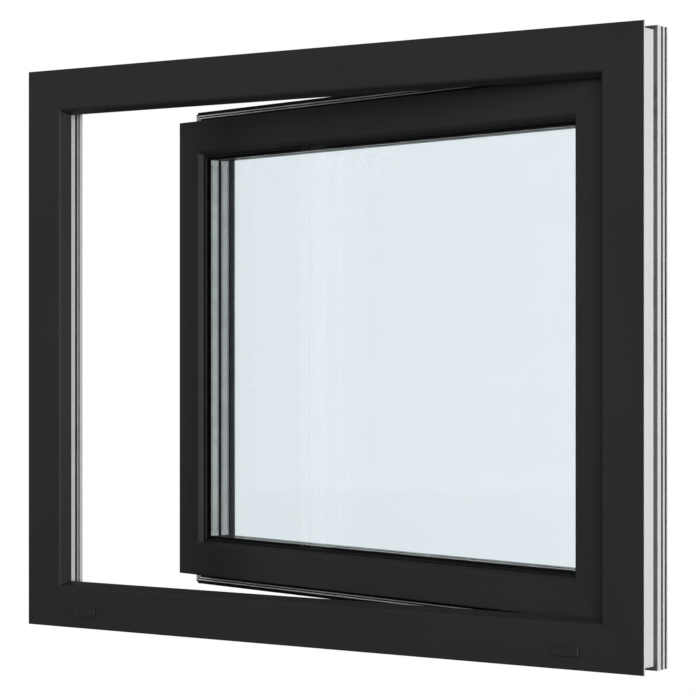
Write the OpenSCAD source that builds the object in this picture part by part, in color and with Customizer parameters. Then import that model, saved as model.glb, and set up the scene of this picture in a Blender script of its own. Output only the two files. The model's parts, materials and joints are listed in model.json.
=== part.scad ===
// Turn window: a fixed frame of four mitred hollow bars and one inward-opening glazed sash.
// Seen from outside: X runs to the right, Y runs into the room and Z runs up.
// The origin is at the middle of the frame's bottom edge, on its outside face.

/* [Window] */
// Overall width of the fixed frame
frame_w = 1050; // [800:10:1400]
// Overall height of the fixed frame
frame_h = 840; // [700:10:1400]
// Depth of the fixed frame, from outside face to room face
frame_depth = 70; // [70:1:90]
// Angle at which the sash stands open
open_angle = 15; // [0:1:60]
// Clearance between two pieces that fit together
fit = 0.3; // [0.2:0.05:0.4]
// Radial clearance of a running fit
running_fit = 0.05; // [0.02:0.01:0.1]

/* [Frame profile] */
// Width of the flat outside face
face_w = 61.5; // [55:0.5:70]
// Run of the bevel from the flat face to the lip's edge
lip_bevel = 7; // [4:0.5:12]
// Thickness of the lip that the sash closes behind
lip_t = 19.5; // [17:0.5:24]
// Height of the lip above the rebate floor
lip_h = 20; // [18:0.5:24]
// Outer wall thickness of the frame bars and the sash bars
wall = 3; // [2.5:0.1:3.5]
// Width of the rim at the outside edge of the frame's outer side
rim_w = 4.5; // [3:0.5:8]
// Depth of the wide channel in the frame's outer side
channel_d = 7.5; // [5:0.5:9]
// Set-back of the outer side's ridges from the rim
ridge_inset = 2; // [1:0.5:4]
// Wall thickness of the steel reinforcements
steel_t = 1.5; // [1.2:0.1:2]

/* [Sash profile] */
// How far the closed sash laps behind the frame's lip
sash_lap = 7.5; // [6:0.5:9]
// Gap between the lip's back and the closed sash
seal_gap = 3; // [2.5:0.1:4]
// Gap between the frame's room face and the closed sash's flange
overlap_gap = 5; // [4:0.5:6]
// Projection of the room-side flange past the sash body
flange_w = 21.5; // [18:0.5:24]
// Thickness of the room-side flange
flange_t = 21.5; // [18:0.5:26]
// Width of the sash's flat outside face
sash_face_w = 48.5; // [44:0.5:56]
// Run of the bevel from the sash's flat face to its glazing lip
sash_bevel = 7; // [4:0.5:12]
// Depth of the glazing rebate behind the glazing lip's edge
glazing_rebate = 10; // [8:0.5:14]
// Thickness of the glazing lip
glazing_lip_t = 9.8; // [8:0.2:12]

/* [Glazing] */
// Thickness of each pane
pane_t = 4; // [3:0.5:6]
// Width of each cavity between two panes
cavity_w = 16; // [12:1:16]
// Gap at the glass edge for the setting blocks
block_t = 5; // [4:0.5:6]
// Thickness of the outer glazing gasket
outer_seal_t = 2.7; // [2:0.1:4]
// Thickness of the inner glazing gasket
inner_seal_t = 3; // [2:0.1:4]
// Height of the spacer bars
spacer_h = 7; // [6:0.5:8]
// Height of the sealant outside the spacer bars
edge_seal_h = 4.5; // [3:0.5:6]
// Height of the glazing beads above the rebate floor
bead_h = 12.8; // [11:0.2:15]

/* [Hardware] */
// Distance of the spindle axis from the sash body's outer edge
backset = 15.5; // [15:0.5:17]
// Side of the square spindle
spindle_side = 7; // [6:1:8]
// Module of the pinion and the two racks
gear_module = 1.25; // [1.2:0.05:1.3]
// Number of teeth on the pinion
gear_teeth = 14; // [14:2:14]
// Turn of the handle from free to locked
handle_turn = 180; // [90:90:180]
// Height of the spindle above the sash body's bottom edge, from the middle
handle_rise = 0; // [-100:10:100]
// Length of the handle's grip
grip_l = 118; // [100:2:140]
// Width of the handle's grip
grip_w = 16; // [14:1:18]
// Sideways offset of the cranked grip from the spindle axis
crank_offset = 16; // [12:1:18]
// Gap for the fingers between the stile and the grip
finger_gap = 18; // [16:1:24]
// Diameter of the hinge pins
hinge_pin_d = 8; // [7:1:9]
// Length of each hinge, frame half and sash half together
hinge_l = 78; // [70:2:90]
// Distance of each hinge's end from the frame's nearest corner
hinge_inset_z = 74; // [72:1:110]
// Width of the drain caps
drain_cap_w = 38; // [30:1:50]
// Distance of the drain caps' middle from the frame's side
drain_cap_inset = 113.5; // [90:0.5:160]

/* [Hidden] */
$fn = 48;

foil = "#26282a";
rubber_black = "#141414";
rubber_grey = "#8a8d8e";
zinc = "#b9bcbe";
cast_grey = "#a6a9ab";
base_grey = "#6d7072";
guide_grey = "#55585a";
plastic_dark = "#3a3c3e";
hardware_black = "#2b2d2f";
handle_black = "#202224";
spacer_grey = "#9aa09c";
block_blue = "#2d6fa8";
glass_tint = [0.82, 0.88, 0.9, 0.35];

// Frame profile, depth from the outside face and height from the outer edge
lip_w = face_w + lip_bevel;
floor_u = lip_w - lip_h;
ridge_depth = 6;
ridge_run = 29.5;
notch_depths = [[18, 14], [7.5, 3.5]];
channel_end = frame_depth - ridge_run;
floor_grooves = [[18.5, 14.5, 4], [11, 9, 3]];
gasket_slot = [60, 63];
gasket_root = 2.8;
overlap_root = 2;
overlap_root_u = [-13.5, -10];
steel_chamber_t = [lip_t + 0.5, frame_depth - 22];
room_chamber_t = [frame_depth - 19, frame_depth - wall];
chamber_floor = channel_d + wall;
frame_chambers = [
    [wall, chamber_floor, lip_t - wall, floor_u - 5],
    [wall, floor_u - 1, lip_t - wall - gasket_root, lip_w - 9],
    [steel_chamber_t[0], chamber_floor, steel_chamber_t[1], floor_u - wall],
    [room_chamber_t[0], chamber_floor, room_chamber_t[1], floor_u - 7]
];

// Sash profile, depth from the sash's outside face and height from the sash body's outer edge
sash_edge = lip_w - sash_lap;
sash_front = lip_t + seal_gap;
sash_w = frame_w - 2 * sash_edge;
sash_h = frame_h - 2 * sash_edge;
flange_setback = frame_depth + overlap_gap - sash_front;
sash_depth = flange_setback + flange_t;
room_face = sash_front + sash_depth;
glazing_lip_w = sash_face_w + sash_bevel;
glazing_floor = glazing_lip_w - glazing_rebate;
// Hardware groove's middle, ahead of the flange
groove_setback = 15.5;
groove_t = flange_setback - groove_setback;
recess_w = 16.4;
recess_d = 2.5;
slot_w = 12;
slot_d = 11;
gear_chamber_t = [groove_t - 9, groove_t + 9];
sash_steel_t = [gear_chamber_t[1] + wall, sash_depth - wall];
chamber_top = glazing_floor - wall;
sash_chambers = [
    [wall, wall, glazing_lip_t - 2, chamber_top],
    [glazing_lip_t + 2, wall, gear_chamber_t[0] - wall, chamber_top],
    [gear_chamber_t[0], slot_d + wall, gear_chamber_t[1], chamber_top],
    [sash_steel_t[0], wall, sash_steel_t[1], chamber_top],
    [flange_setback + wall, wall - flange_w, sash_depth - wall, 0]
];

// Glazing, depth from the sash's outside face
outer_pane_t = glazing_lip_t + outer_seal_t;
middle_pane_t = outer_pane_t + pane_t + cavity_w;
inner_pane_t = middle_pane_t + pane_t + cavity_w;
glass_back = inner_pane_t + pane_t;
bead_front = glass_back + inner_seal_t;
glass_inset = glazing_floor + block_t;
spacer_inset = glass_inset + edge_seal_h;
spacer_butyl = 1;
spacer_wall = 1;
sightline = spacer_inset + spacer_h;

// Drainage
drain_slot_w = 28;
drain_cap_z = 24;
drain_cap_h = 13;
drain_cap_t = 3.5;
drain_slot_h = 5;

// Run-up block on the sill's rebate floor
run_up_x = -frame_w / 2 + 200;
run_up_l = 46;
run_up_t = lip_t + seal_gap + 20;
run_up_run = frame_depth - 2 - run_up_t;
run_up_rise = sash_edge - floor_u - 0.5;

// Hinges
hinge_axis_inset = 31;
hinge_x = frame_w / 2 - hinge_axis_inset;
// The pins' axis lies a little in from the flange's room face
hinge_y = room_face - 2.5;
knuckle_r = 7;
hinge_half_l = (hinge_l - fit) / 2;
bracket_t = 4;
leaf_t = 4;
bracket_plate_w = 20.3;
// How far the plate stays back from the frame's outer edge
bracket_setback = 2.7;
leaf_plate_w = 54;
hinge_zs = [hinge_inset_z, frame_h - hinge_inset_z - hinge_l];
hinge_screw_r = 2;
bracket_screw_l = 18;
bracket_screw_x = frame_w / 2 - ridge_inset - 11;
bracket_screw_zs = [9, hinge_l - 9];
leaf_screw_l = 16;
leaf_screw_xs = [-46, -26];
leaf_screw_zs = [9, hinge_half_l - 9];

// Gear and locking bolts; heights are above the sash body's bottom edge
handle_z = sash_h / 2 + handle_rise;
pitch_r = gear_module * gear_teeth / 2;
bolt_travel = pitch_r * PI * handle_turn / 180;
rack_addendum = 0.8 * gear_module;
rack_root = 1.2 * gear_module;
backlash = 0.2;
rod_w = 9;
rod_outer_u = 3.2;
outer_rod_t = backset - pitch_r - rack_root - rod_outer_u;
inner_rod_t = 2.2;
bolt_r = 3.5;
faceplate_t = 2.3;
bolt_u = faceplate_t + 0.1 + fit + bolt_r;
bolt_end_gap = 1;
rod_top = sash_h - bolt_end_gap;
rod_bottom = bolt_end_gap;
case_half_h = 45;
case_w = 16;
case_u = [slot_d + 0.2, backset + pitch_r + rack_root + inner_rod_t + 4];
cheek_t = 2.6;
journal_r = 7;
rack_first = -ceil((bolt_travel + 6) / (PI * gear_module));
crosspiece_h = 6;
crosspiece_drop = crosspiece_h + 2 - rack_first * PI * gear_module;
guide_l = 30;
guide_end = 15;
bolt_end_l = guide_end + guide_l + bolt_travel + 2;
faceplate_end = guide_l + guide_end + 2;
faceplate_screw_r = 1.9;
rod_slot_w = 5;
screw_margin = 55;
screw_reach = min(handle_z, sash_h - handle_z) - bolt_end_l - screw_margin;
screw_offsets = [-screw_reach, -screw_reach / 2, screw_reach / 2, screw_reach];
keeper_t = 2;
keeper_hole_r = bolt_r + 0.6;
keeper_screw_r = 2;
keeper_screw_l = 16;
keeper_screw_x = [18, 28];
keeper_start = -9;
keeper_l = 44;
keeper_w = 16;

// Axis of a locking bolt when the sash is closed
bolt_x = -sash_w / 2 + bolt_u;
bolt_y = sash_front + groove_t;

// Handle
rose = [30, 10, 66];
base_size = [25, 6.5, 61];
shank_r = 8;
handle_screw_z = 21.5;
handle_screw_r = 2.5;
screw_seat = base_size[1] - 2.9;
grip_t = 12;

small = 0.01;

// ---------- outlines ----------

function unit(v) = v / norm(v);

function arc_points(centre, radius, start, sweep, steps) =
    [for (i = [0:steps]) centre + radius * [cos(start + sweep * i / steps), sin(start + sweep * i / steps)]];

function half_turn(angle) = angle > 180 ? angle - 360 : angle < -180 ? angle + 360 : angle;

// Corner given as [x, y] or, with a rounding radius, as [x, y, radius]
function corner(before, here, after, steps) =
    let (p = [here[0], here[1]])
    len(here) < 3 ? [p] :
    let (a = unit([before[0], before[1]] - p),
         b = unit([after[0], after[1]] - p),
         half = acos(a * b) / 2,
         centre = p + unit(a + b) * here[2] / sin(half),
         from = p + a * here[2] / tan(half) - centre,
         to = p + b * here[2] / tan(half) - centre,
         start = atan2(from[1], from[0]))
    arc_points(centre, here[2], start, half_turn(atan2(to[1], to[0]) - start), steps);

function rounded(path, steps = 4) =
    let (n = len(path))
    [for (i = [0:n - 1]) each corner(path[(i + n - 1) % n], path[i], path[(i + 1) % n], steps)];

frame_outline = rounded([
    [0, 0, 0.6],
    [0, face_w, 5],
    [lip_t, lip_w, 1.5],
    [lip_t, gasket_slot[1]],
    [lip_t - gasket_root, gasket_slot[1]],
    [lip_t - gasket_root, gasket_slot[0]],
    [lip_t, gasket_slot[0]],
    [lip_t, floor_u, 1],
    for (g = floor_grooves) each [
        [frame_depth - g[0], floor_u], [frame_depth - g[0], floor_u - g[2]],
        [frame_depth - g[1], floor_u - g[2]], [frame_depth - g[1], floor_u]
    ],
    [frame_depth, floor_u, 2],
    [frame_depth, ridge_inset, 0.6],
    for (n = [notch_depths[1], notch_depths[0]]) each [
        [frame_depth - n[1], ridge_inset], [frame_depth - n[1], ridge_depth],
        [frame_depth - n[0], ridge_depth], [frame_depth - n[0], ridge_inset]
    ],
    [channel_end, ridge_inset, 0.6],
    [channel_end, channel_d, 1],
    [rim_w, channel_d, 1],
    [rim_w, 0, 0.6]
]);

sash_outline = rounded([
    [0, 0, 2],
    [0, sash_face_w, 5],
    [glazing_lip_t, glazing_lip_w, 1.5],
    [glazing_lip_t, glazing_floor, 0.5],
    [sash_depth, glazing_floor, 0.5],
    [sash_depth, -flange_w, 3],
    [flange_setback, -flange_w, 2],
    [flange_setback, overlap_root_u[0]],
    [flange_setback + overlap_root, overlap_root_u[0]],
    [flange_setback + overlap_root, overlap_root_u[1]],
    [flange_setback, overlap_root_u[1]],
    [flange_setback, 0, 0.5],
    [groove_t + recess_w / 2, 0],
    [groove_t + recess_w / 2, recess_d],
    [groove_t + slot_w / 2, recess_d],
    [groove_t + slot_w / 2, slot_d],
    [groove_t - slot_w / 2, slot_d],
    [groove_t - slot_w / 2, recess_d],
    [groove_t - recess_w / 2, recess_d],
    [groove_t - recess_w / 2, 0]
]);

bead_outline = rounded([
    [bead_front, glazing_floor],
    [bead_front, glazing_floor + bead_h, 1],
    [bead_front + 6, glazing_floor + bead_h, 3],
    [sash_depth, glazing_floor + 5, 1.5],
    [sash_depth, glazing_floor]
]);

// ---------- placing ----------

// A bar lies along X with its outer edge at height 0; this moves it to one side of a rectangle
module on_side(side, w, h) {
    if (side == "bottom") children();
    if (side == "top") translate([0, 0, h]) rotate([0, 180, 0]) children();
    if (side == "left") translate([-w / 2, 0, h / 2]) rotate([0, 90, 0]) children();
    if (side == "right") translate([w / 2, 0, h / 2]) rotate([0, -90, 0]) children();
}

function side_length(side, w, h) = side == "bottom" || side == "top" ? w : h;

module closed_sash() {
    translate([0, sash_front, sash_edge]) children();
}

module swung() {
    translate([hinge_x, hinge_y, 0]) rotate([0, 0, -open_angle])
        translate([-hinge_x, -hinge_y, 0]) children();
}

module in_sash() {
    swung() closed_sash() children();
}

// X is the distance from the lock stile's outer edge, Y the depth from the sash's outside face
module in_lock_stile() {
    in_sash() translate([-sash_w / 2, 0, 0]) children();
}

module at_spindle() {
    in_lock_stile() translate([backset, 0, handle_z]) children();
}

// ---------- shapes ----------

module along_x(length) {
    rotate([90, 0, 90]) linear_extrude(length, center = true) children();
}

module mitre_prism(length, below, above, depth) {
    translate([0, depth + 10, 0]) rotate([90, 0, 0]) linear_extrude(depth + 20) polygon([
        [-length / 2 - below, -below], [length / 2 + below, -below],
        [length / 2 - above, above], [-length / 2 + above, above]
    ]);
}

module chamber(box) {
    translate([box[0], box[1]]) square([box[2] - box[0], box[3] - box[1]]);
}

// A hollow bar cut at 45 degrees at both ends
module mitred_bar(length, outline, chambers, below, above, depth) {
    intersection() {
        difference() {
            along_x(length + 2 * below + 2) polygon(outline);
            for (box = chambers) along_x(length + 2 * below + 4) chamber(box);
        }
        mitre_prism(length, below + 1, above + 1, depth);
    }
}

module mitred_strip(side, w, h, outline, below, above) {
    length = side_length(side, w, h);
    on_side(side, w, h) intersection() {
        along_x(length + 2 * below + 2) polygon(outline);
        mitre_prism(length, below, above, sash_depth);
    }
}

// Steel box section for the chamber box, square cut and set back from the mitres
module box_section(length, box) {
    inner = [box[0] + fit + steel_t, box[1] + fit + steel_t, box[2] - fit - steel_t, box[3] - fit - steel_t];
    difference() {
        along_x(length) chamber([box[0] + fit, box[1] + fit, box[2] - fit, box[3] - fit]);
        along_x(length + 2) chamber(inner);
    }
}

// A flat ring round the glass, with its outer edge at the given inset from the sash body's edge
module glass_ring(inset, height, t0, t1) {
    translate([0, t1, 0]) rotate([90, 0, 0]) linear_extrude(t1 - t0) difference() {
        translate([-sash_w / 2 + inset, inset]) square([sash_w - 2 * inset, sash_h - 2 * inset]);
        translate([-sash_w / 2 + inset + height, inset + height])
            square([sash_w - 2 * (inset + height), sash_h - 2 * (inset + height)]);
    }
}

module pane(t0) {
    color(glass_tint) in_sash() translate([-sash_w / 2 + glass_inset, t0, glass_inset])
        cube([sash_w - 2 * glass_inset, pane_t, sash_h - 2 * glass_inset]);
}

module y_cylinder(radius, length) {
    rotate([-90, 0, 0]) cylinder(r = radius, h = length);
}

module x_cylinder(radius, length) {
    rotate([0, 90, 0]) cylinder(r = radius, h = length);
}

// Countersunk screw pointing along -Y, with the top of its head at Y = 0
module screw_y(shank_r, length) {
    rotate([90, 0, 0]) rotate_extrude() polygon([
        [0, 0], [shank_r * 2, 0], [shank_r * 2, 0.3], [shank_r, shank_r + 0.3],
        [shank_r, length - shank_r], [0, length]
    ]);
}

module screw_hole_y(shank_r, length) {
    rotate([90, 0, 0]) rotate_extrude() polygon([
        [0, -1], [shank_r * 2 + 0.1, -1], [shank_r * 2 + 0.1, 0.35], [shank_r + 0.1, shank_r + 0.35],
        [shank_r + 0.1, length], [0, length]
    ]);
}

// ---------- fixed frame ----------

module frame_bar(side) {
    on_side(side, frame_w, frame_h)
        mitred_bar(side_length(side, frame_w, frame_h), frame_outline, frame_chambers, 0, lip_w, frame_depth);
}

module frame_steel(side) {
    length = side_length(side, frame_w, frame_h) - 2 * (floor_u + 2);
    box = [steel_chamber_t[0], chamber_floor, steel_chamber_t[1], floor_u - wall];
    color(zinc) on_side(side, frame_w, frame_h) box_section(length, box);
}

module bolt_holes() {
    for (z = [-1, frame_h - floor_u - 1]) translate([bolt_x, bolt_y, z])
        cylinder(r = keeper_hole_r, h = floor_u + 2);
    for (x = keeper_screw_x, z = [floor_u - keeper_screw_l, frame_h - floor_u - 1])
        translate([bolt_x + x, bolt_y, z]) cylinder(r = keeper_screw_r + running_fit, h = keeper_screw_l + 1);
}

module drain_slots() {
    for (side = [-1, 1]) translate([side * (frame_w / 2 - drain_cap_inset), 0, 0]) {
        translate([-drain_slot_w / 2, -1, drain_cap_z - drain_slot_h / 2])
            cube([drain_slot_w, wall + 2, drain_slot_h]);
        translate([-drain_slot_w / 2, lip_t + 1, floor_u - wall - 1])
            cube([drain_slot_w, drain_slot_h, wall + 2]);
    }
}

module frame_head() {
    color(foil) difference() {
        frame_bar("top");
        bolt_holes();
    }
}

module frame_sill() {
    color(foil) difference() {
        frame_bar("bottom");
        bolt_holes();
        drain_slots();
    }
}

module frame_lock_jamb() {
    color(foil) frame_bar("left");
}

module frame_hinge_jamb() {
    color(foil) difference() {
        frame_bar("right");
        bracket_screw_holes();
    }
}

module frame_gasket() {
    outline = rounded([
        [lip_t - gasket_root + 0.2, gasket_slot[0] + 0.2],
        [lip_t - gasket_root + 0.2, gasket_slot[1] - 0.2],
        [lip_t + 0.1, gasket_slot[1] - 0.2],
        [lip_t + 0.1, gasket_slot[1] + 3, 0.4],
        [lip_t + seal_gap - fit, gasket_slot[1] + 4, 0.6],
        [lip_t + seal_gap - fit, gasket_slot[0] + 1.5, 0.6],
        [lip_t + 0.1, gasket_slot[0] - 1, 0.3],
        [lip_t + 0.1, gasket_slot[0] + 0.2]
    ], 3);
    color(rubber_black) for (side = ["bottom", "top", "left", "right"])
        mitred_strip(side, frame_w, frame_h, outline, 0, lip_w);
}

// Raised cap with a stub that clips into the drain slot behind it
module drain_cap(direction) {
    color(foil) translate([direction * (frame_w / 2 - drain_cap_inset), 0, drain_cap_z]) {
        translate([0, -0.05, 0]) rotate([90, 0, 0]) linear_extrude(drain_cap_t) polygon(rounded([
            [-drain_cap_w / 2, -drain_cap_h / 2, 3], [drain_cap_w / 2, -drain_cap_h / 2, 3],
            [drain_cap_w / 2, drain_cap_h / 2, 3], [-drain_cap_w / 2, drain_cap_h / 2, 3]
        ], 6));
        for (end = [-1, 1]) translate([end * (drain_slot_w / 2 - 2.2) - 1.5, -1, -2.2])
            cube([3, wall + 0.5, 4.4]);
    }
}

module bolt_keeper(floor_z, direction) {
    color(zinc) difference() {
        plate_z = direction > 0 ? floor_z : floor_z - keeper_t;
        translate([bolt_x + keeper_start, bolt_y - keeper_w / 2, plate_z])
            cube([keeper_l, keeper_w, keeper_t]);
        translate([bolt_x, bolt_y, floor_z - 5]) cylinder(r = keeper_hole_r, h = 10);
        for (x = keeper_screw_x) translate([bolt_x + x, bolt_y, floor_z - 5])
            cylinder(r = keeper_screw_r + running_fit, h = 10);
    }
}

module keeper_screw() {
    translate([0, 0, -keeper_screw_l + 1]) cylinder(r = keeper_screw_r, h = keeper_screw_l - 1 + keeper_t);
    translate([0, 0, keeper_t]) cylinder(r = keeper_screw_r * 1.9, h = 1.4);
}

module keeper_screws() {
    color(zinc) for (x = keeper_screw_x) {
        translate([bolt_x + x, bolt_y, floor_u]) keeper_screw();
        translate([bolt_x + x, bolt_y, frame_h - floor_u]) mirror([0, 0, 1]) keeper_screw();
    }
}

// Wedge on the sill's rebate floor that lifts the closing sash
module run_up_block() {
    color(plastic_dark) translate([run_up_x, run_up_t, floor_u]) rotate([90, 0, 90])
        linear_extrude(run_up_l) polygon(rounded([
            [0, 0], [0, run_up_rise * 0.7, 1], [5, run_up_rise, 1],
            [run_up_run - 9, run_up_rise, 1], [run_up_run, 2, 0.6], [run_up_run, 0]
        ]));
}

// ---------- hinges ----------

module at_hinge(index) {
    translate([hinge_x, hinge_y, hinge_zs[index]]) children();
}

// The bracket's plate lies on the frame's room face; its knuckle carries the pin
module hinge_bracket(index) {
    plate_x = frame_w / 2 - ridge_inset - bracket_setback - hinge_x;
    base_y = frame_depth - hinge_y;
    color(hardware_black) at_hinge(index) difference() {
        union() {
            cylinder(r = knuckle_r, h = hinge_half_l);
            linear_extrude(hinge_half_l) polygon([
                [knuckle_r * cos(-45), knuckle_r * sin(-45)], [knuckle_r * cos(40), knuckle_r * sin(40)],
                [plate_x - 8, base_y + bracket_t + 4], [plate_x - 4, base_y + bracket_t],
                [plate_x - 18, base_y + bracket_t]
            ]);
            translate([plate_x - bracket_plate_w, base_y, 0]) cube([bracket_plate_w, bracket_t, hinge_l]);
        }
        translate([0, 0, -1]) cylinder(r = hinge_pin_d / 2, h = hinge_half_l + 2);
        for (z = bracket_screw_zs) translate([bracket_screw_x - hinge_x, base_y + bracket_t, z])
            screw_hole_y(hinge_screw_r, 10);
    }
}

module bracket_screw_holes() {
    for (base_z = hinge_zs, z = bracket_screw_zs)
        translate([bracket_screw_x, frame_depth + 1, base_z + z]) rotate([90, 0, 0])
            cylinder(r = hinge_screw_r + running_fit, h = wall + 2);
}

module bracket_screws() {
    color(zinc) for (base_z = hinge_zs, z = bracket_screw_zs)
        translate([bracket_screw_x, frame_depth + bracket_t, base_z + z])
            screw_y(hinge_screw_r, bracket_screw_l);
}

module hinge_pin(index) {
    color(zinc) at_hinge(index) {
        cylinder(r = hinge_pin_d / 2, h = hinge_l);
        translate([0, 0, hinge_l]) cylinder(r1 = hinge_pin_d / 2, r2 = hinge_pin_d / 2 - 1, h = 1);
    }
}

// The leaf lies on the flange's room face; its knuckle turns on the bracket's pin
module hinge_leaf(index) {
    color(hardware_black) swung() at_hinge(index) translate([0, 0, hinge_half_l + fit]) difference() {
        union() {
            cylinder(r = knuckle_r, h = hinge_half_l);
            translate([-leaf_plate_w, room_face - hinge_y, 0]) cube([leaf_plate_w, leaf_t, hinge_half_l]);
        }
        translate([0, 0, -1]) cylinder(r = hinge_pin_d / 2 + running_fit, h = hinge_half_l + 2);
        for (z = leaf_screw_zs, x = leaf_screw_xs)
            translate([x, room_face - hinge_y + leaf_t, z]) screw_hole_y(hinge_screw_r, 12);
    }
}

module at_leaf_screws() {
    for (index = [0, 1], z = leaf_screw_zs, x = leaf_screw_xs)
        swung() at_hinge(index) translate([x, room_face - hinge_y, z + hinge_half_l + fit]) children();
}

module leaf_screws() {
    color(zinc) at_leaf_screws() translate([0, leaf_t, 0]) screw_y(hinge_screw_r, leaf_screw_l);
}

module leaf_screw_holes(depth) {
    at_leaf_screws() translate([0, 1, 0]) rotate([90, 0, 0])
        cylinder(r = hinge_screw_r + running_fit, h = depth);
}

// ---------- sash ----------

module sash_bar(side) {
    in_sash() on_side(side, sash_w, sash_h) mitred_bar(
        side_length(side, sash_w, sash_h), sash_outline, sash_chambers, flange_w, glazing_lip_w, sash_depth);
}

module sash_steel(side) {
    length = side_length(side, sash_w, sash_h) - 2 * (chamber_top + 2);
    box = [sash_steel_t[0], wall, sash_steel_t[1], chamber_top];
    in_sash() on_side(side, sash_w, sash_h) box_section(length, box);
}

module sash_lock_stile_steel() {
    color(zinc) difference() {
        sash_steel("left");
        in_lock_stile() handle_holes(gear_chamber_t[1] - 1, sash_depth + 1);
    }
}

module sash_hinge_stile_steel() {
    color(zinc) difference() {
        sash_steel("right");
        leaf_screw_holes(wall + fit + steel_t + 2);
    }
}

module sash_top_rail() {
    color(foil) sash_bar("top");
}

module sash_bottom_rail() {
    color(foil) sash_bar("bottom");
}

module gear_pocket() {
    translate([-1, groove_t - recess_w / 2, handle_z - case_half_h - 1])
        cube([slot_d + wall + 2, recess_w, 2 * case_half_h + 2]);
    // Room below the case for the lower rod's crosspiece
    translate([slot_d - 1, groove_t - slot_w / 2, handle_z - crosspiece_drop - bolt_travel - 2])
        cube([wall + 2, slot_w, crosspiece_drop + bolt_travel]);
    // Room for the faceplate screws in the groove's base
    for (offset = screw_offsets) translate([slot_d - 1, groove_t, handle_z + offset])
        x_cylinder(faceplate_screw_r + running_fit, wall + 2);
}

module handle_holes(from_t, to_t) {
    translate([backset, from_t, handle_z]) y_cylinder(spindle_side * 0.8, to_t - from_t);
    for (z = [-1, 1]) translate([backset, from_t, handle_z + z * handle_screw_z])
        y_cylinder(handle_screw_r + running_fit, to_t - from_t);
}

module sash_lock_stile() {
    color(foil) difference() {
        sash_bar("left");
        in_lock_stile() gear_pocket();
        in_lock_stile() handle_holes(gear_chamber_t[1] - 1, sash_depth + 1);
    }
}

module sash_hinge_stile() {
    color(foil) difference() {
        sash_bar("right");
        leaf_screw_holes(wall + 2);
    }
}

module overlap_gasket() {
    front = -(overlap_gap - fit);
    outline = rounded([
        [flange_setback + overlap_root - 0.2, overlap_root_u[0] + 0.2],
        [flange_setback - 0.1, overlap_root_u[0] + 0.2],
        [flange_setback - 0.1, overlap_root_u[0] - 1.5, 0.3],
        [flange_setback + front, overlap_root_u[0] - 4.5, 0.4],
        [flange_setback + front, overlap_root_u[0] - 1.5, 0.8],
        [flange_setback - 2, overlap_root_u[1] - 0.5, 1],
        [flange_setback - 2, overlap_root_u[1] + 1, 0.4],
        [flange_setback - 0.1, overlap_root_u[1] + 1],
        [flange_setback - 0.1, overlap_root_u[1] - 0.2],
        [flange_setback + overlap_root - 0.2, overlap_root_u[1] - 0.2]
    ], 3);
    color(rubber_grey) in_sash() for (side = ["bottom", "top", "left", "right"])
        mitred_strip(side, sash_w, sash_h, outline, flange_w, 0);
}

module outer_glazing_gasket() {
    outline = rounded([
        [glazing_lip_t + 0.05, glass_inset],
        [glazing_lip_t + 0.05, glazing_lip_w + 1.5, 0.5],
        [outer_pane_t - 0.05, glazing_lip_w + 2.5, 0.5],
        [outer_pane_t - 0.05, glass_inset]
    ], 3);
    color(rubber_black) in_sash() for (side = ["bottom", "top", "left", "right"])
        mitred_strip(side, sash_w, sash_h, outline, 0, sightline);
}

module inner_glazing_gasket() {
    outline = [
        [glass_back + 0.05, glass_inset], [glass_back + 0.05, glazing_floor + bead_h + 0.6],
        [bead_front - 0.05, glazing_floor + bead_h - 0.6], [bead_front - 0.05, glass_inset]
    ];
    color(rubber_black) in_sash() for (side = ["bottom", "top", "left", "right"])
        mitred_strip(side, sash_w, sash_h, outline, 0, sightline);
}

module outer_pane() {
    pane(outer_pane_t);
}

module middle_pane() {
    pane(middle_pane_t);
}

module inner_pane() {
    pane(inner_pane_t);
}

// Hollow spacer bars in the cavity that starts at t0
module spacer(t0) {
    near = t0 + spacer_butyl;
    far = t0 + cavity_w - spacer_butyl;
    color(spacer_grey) in_sash() difference() {
        glass_ring(spacer_inset, spacer_h, near, far);
        glass_ring(spacer_inset + spacer_wall, spacer_h - 2 * spacer_wall,
            near + spacer_wall, far - spacer_wall);
    }
}

// Sealant outside the spacer, with a thin butyl strip up each of its sides
module edge_seal(t0) {
    color(rubber_black) in_sash() difference() {
        glass_ring(glass_inset, edge_seal_h + spacer_h - 0.5, t0, t0 + cavity_w);
        glass_ring(spacer_inset, spacer_h + 1, t0 + spacer_butyl, t0 + cavity_w - spacer_butyl);
    }
}

module outer_spacer() {
    spacer(outer_pane_t + pane_t);
}

module inner_spacer() {
    spacer(middle_pane_t + pane_t);
}

module outer_edge_seal() {
    edge_seal(outer_pane_t + pane_t);
}

module inner_edge_seal() {
    edge_seal(middle_pane_t + pane_t);
}

// Blocks between the glass edge and the rebate floor, two a side
module setting_blocks() {
    block_l = 100;
    corner_gap = 80;
    pack_t = glass_back - outer_pane_t;
    color(block_blue) in_sash() for (side = ["bottom", "top", "left", "right"]) {
        reach = side_length(side, sash_w, sash_h) / 2 - glass_inset - corner_gap - block_l / 2;
        on_side(side, sash_w, sash_h) for (end = [-1, 1])
            translate([end * reach - block_l / 2, outer_pane_t, glazing_floor])
                cube([block_l, pack_t, block_t]);
    }
}

module glazing_bead(side) {
    color(foil) in_sash() on_side(side, sash_w, sash_h) intersection() {
        along_x(side_length(side, sash_w, sash_h)) polygon(bead_outline);
        mitre_prism(side_length(side, sash_w, sash_h), 0, glazing_floor + bead_h + 1, sash_depth);
    }
}

// ---------- gear and locking bolts ----------

// Rack tooth across the pitch line, root at -rack_root and tip at rack_addendum
module rack_tooth() {
    half = PI * gear_module / 4 - backlash / 2;
    lean = tan(20);
    polygon([
        [-half - rack_root * lean, -rack_root - small], [-half + rack_addendum * lean, rack_addendum],
        [half - rack_addendum * lean, rack_addendum], [half + rack_root * lean, -rack_root - small]
    ]);
}

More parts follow.
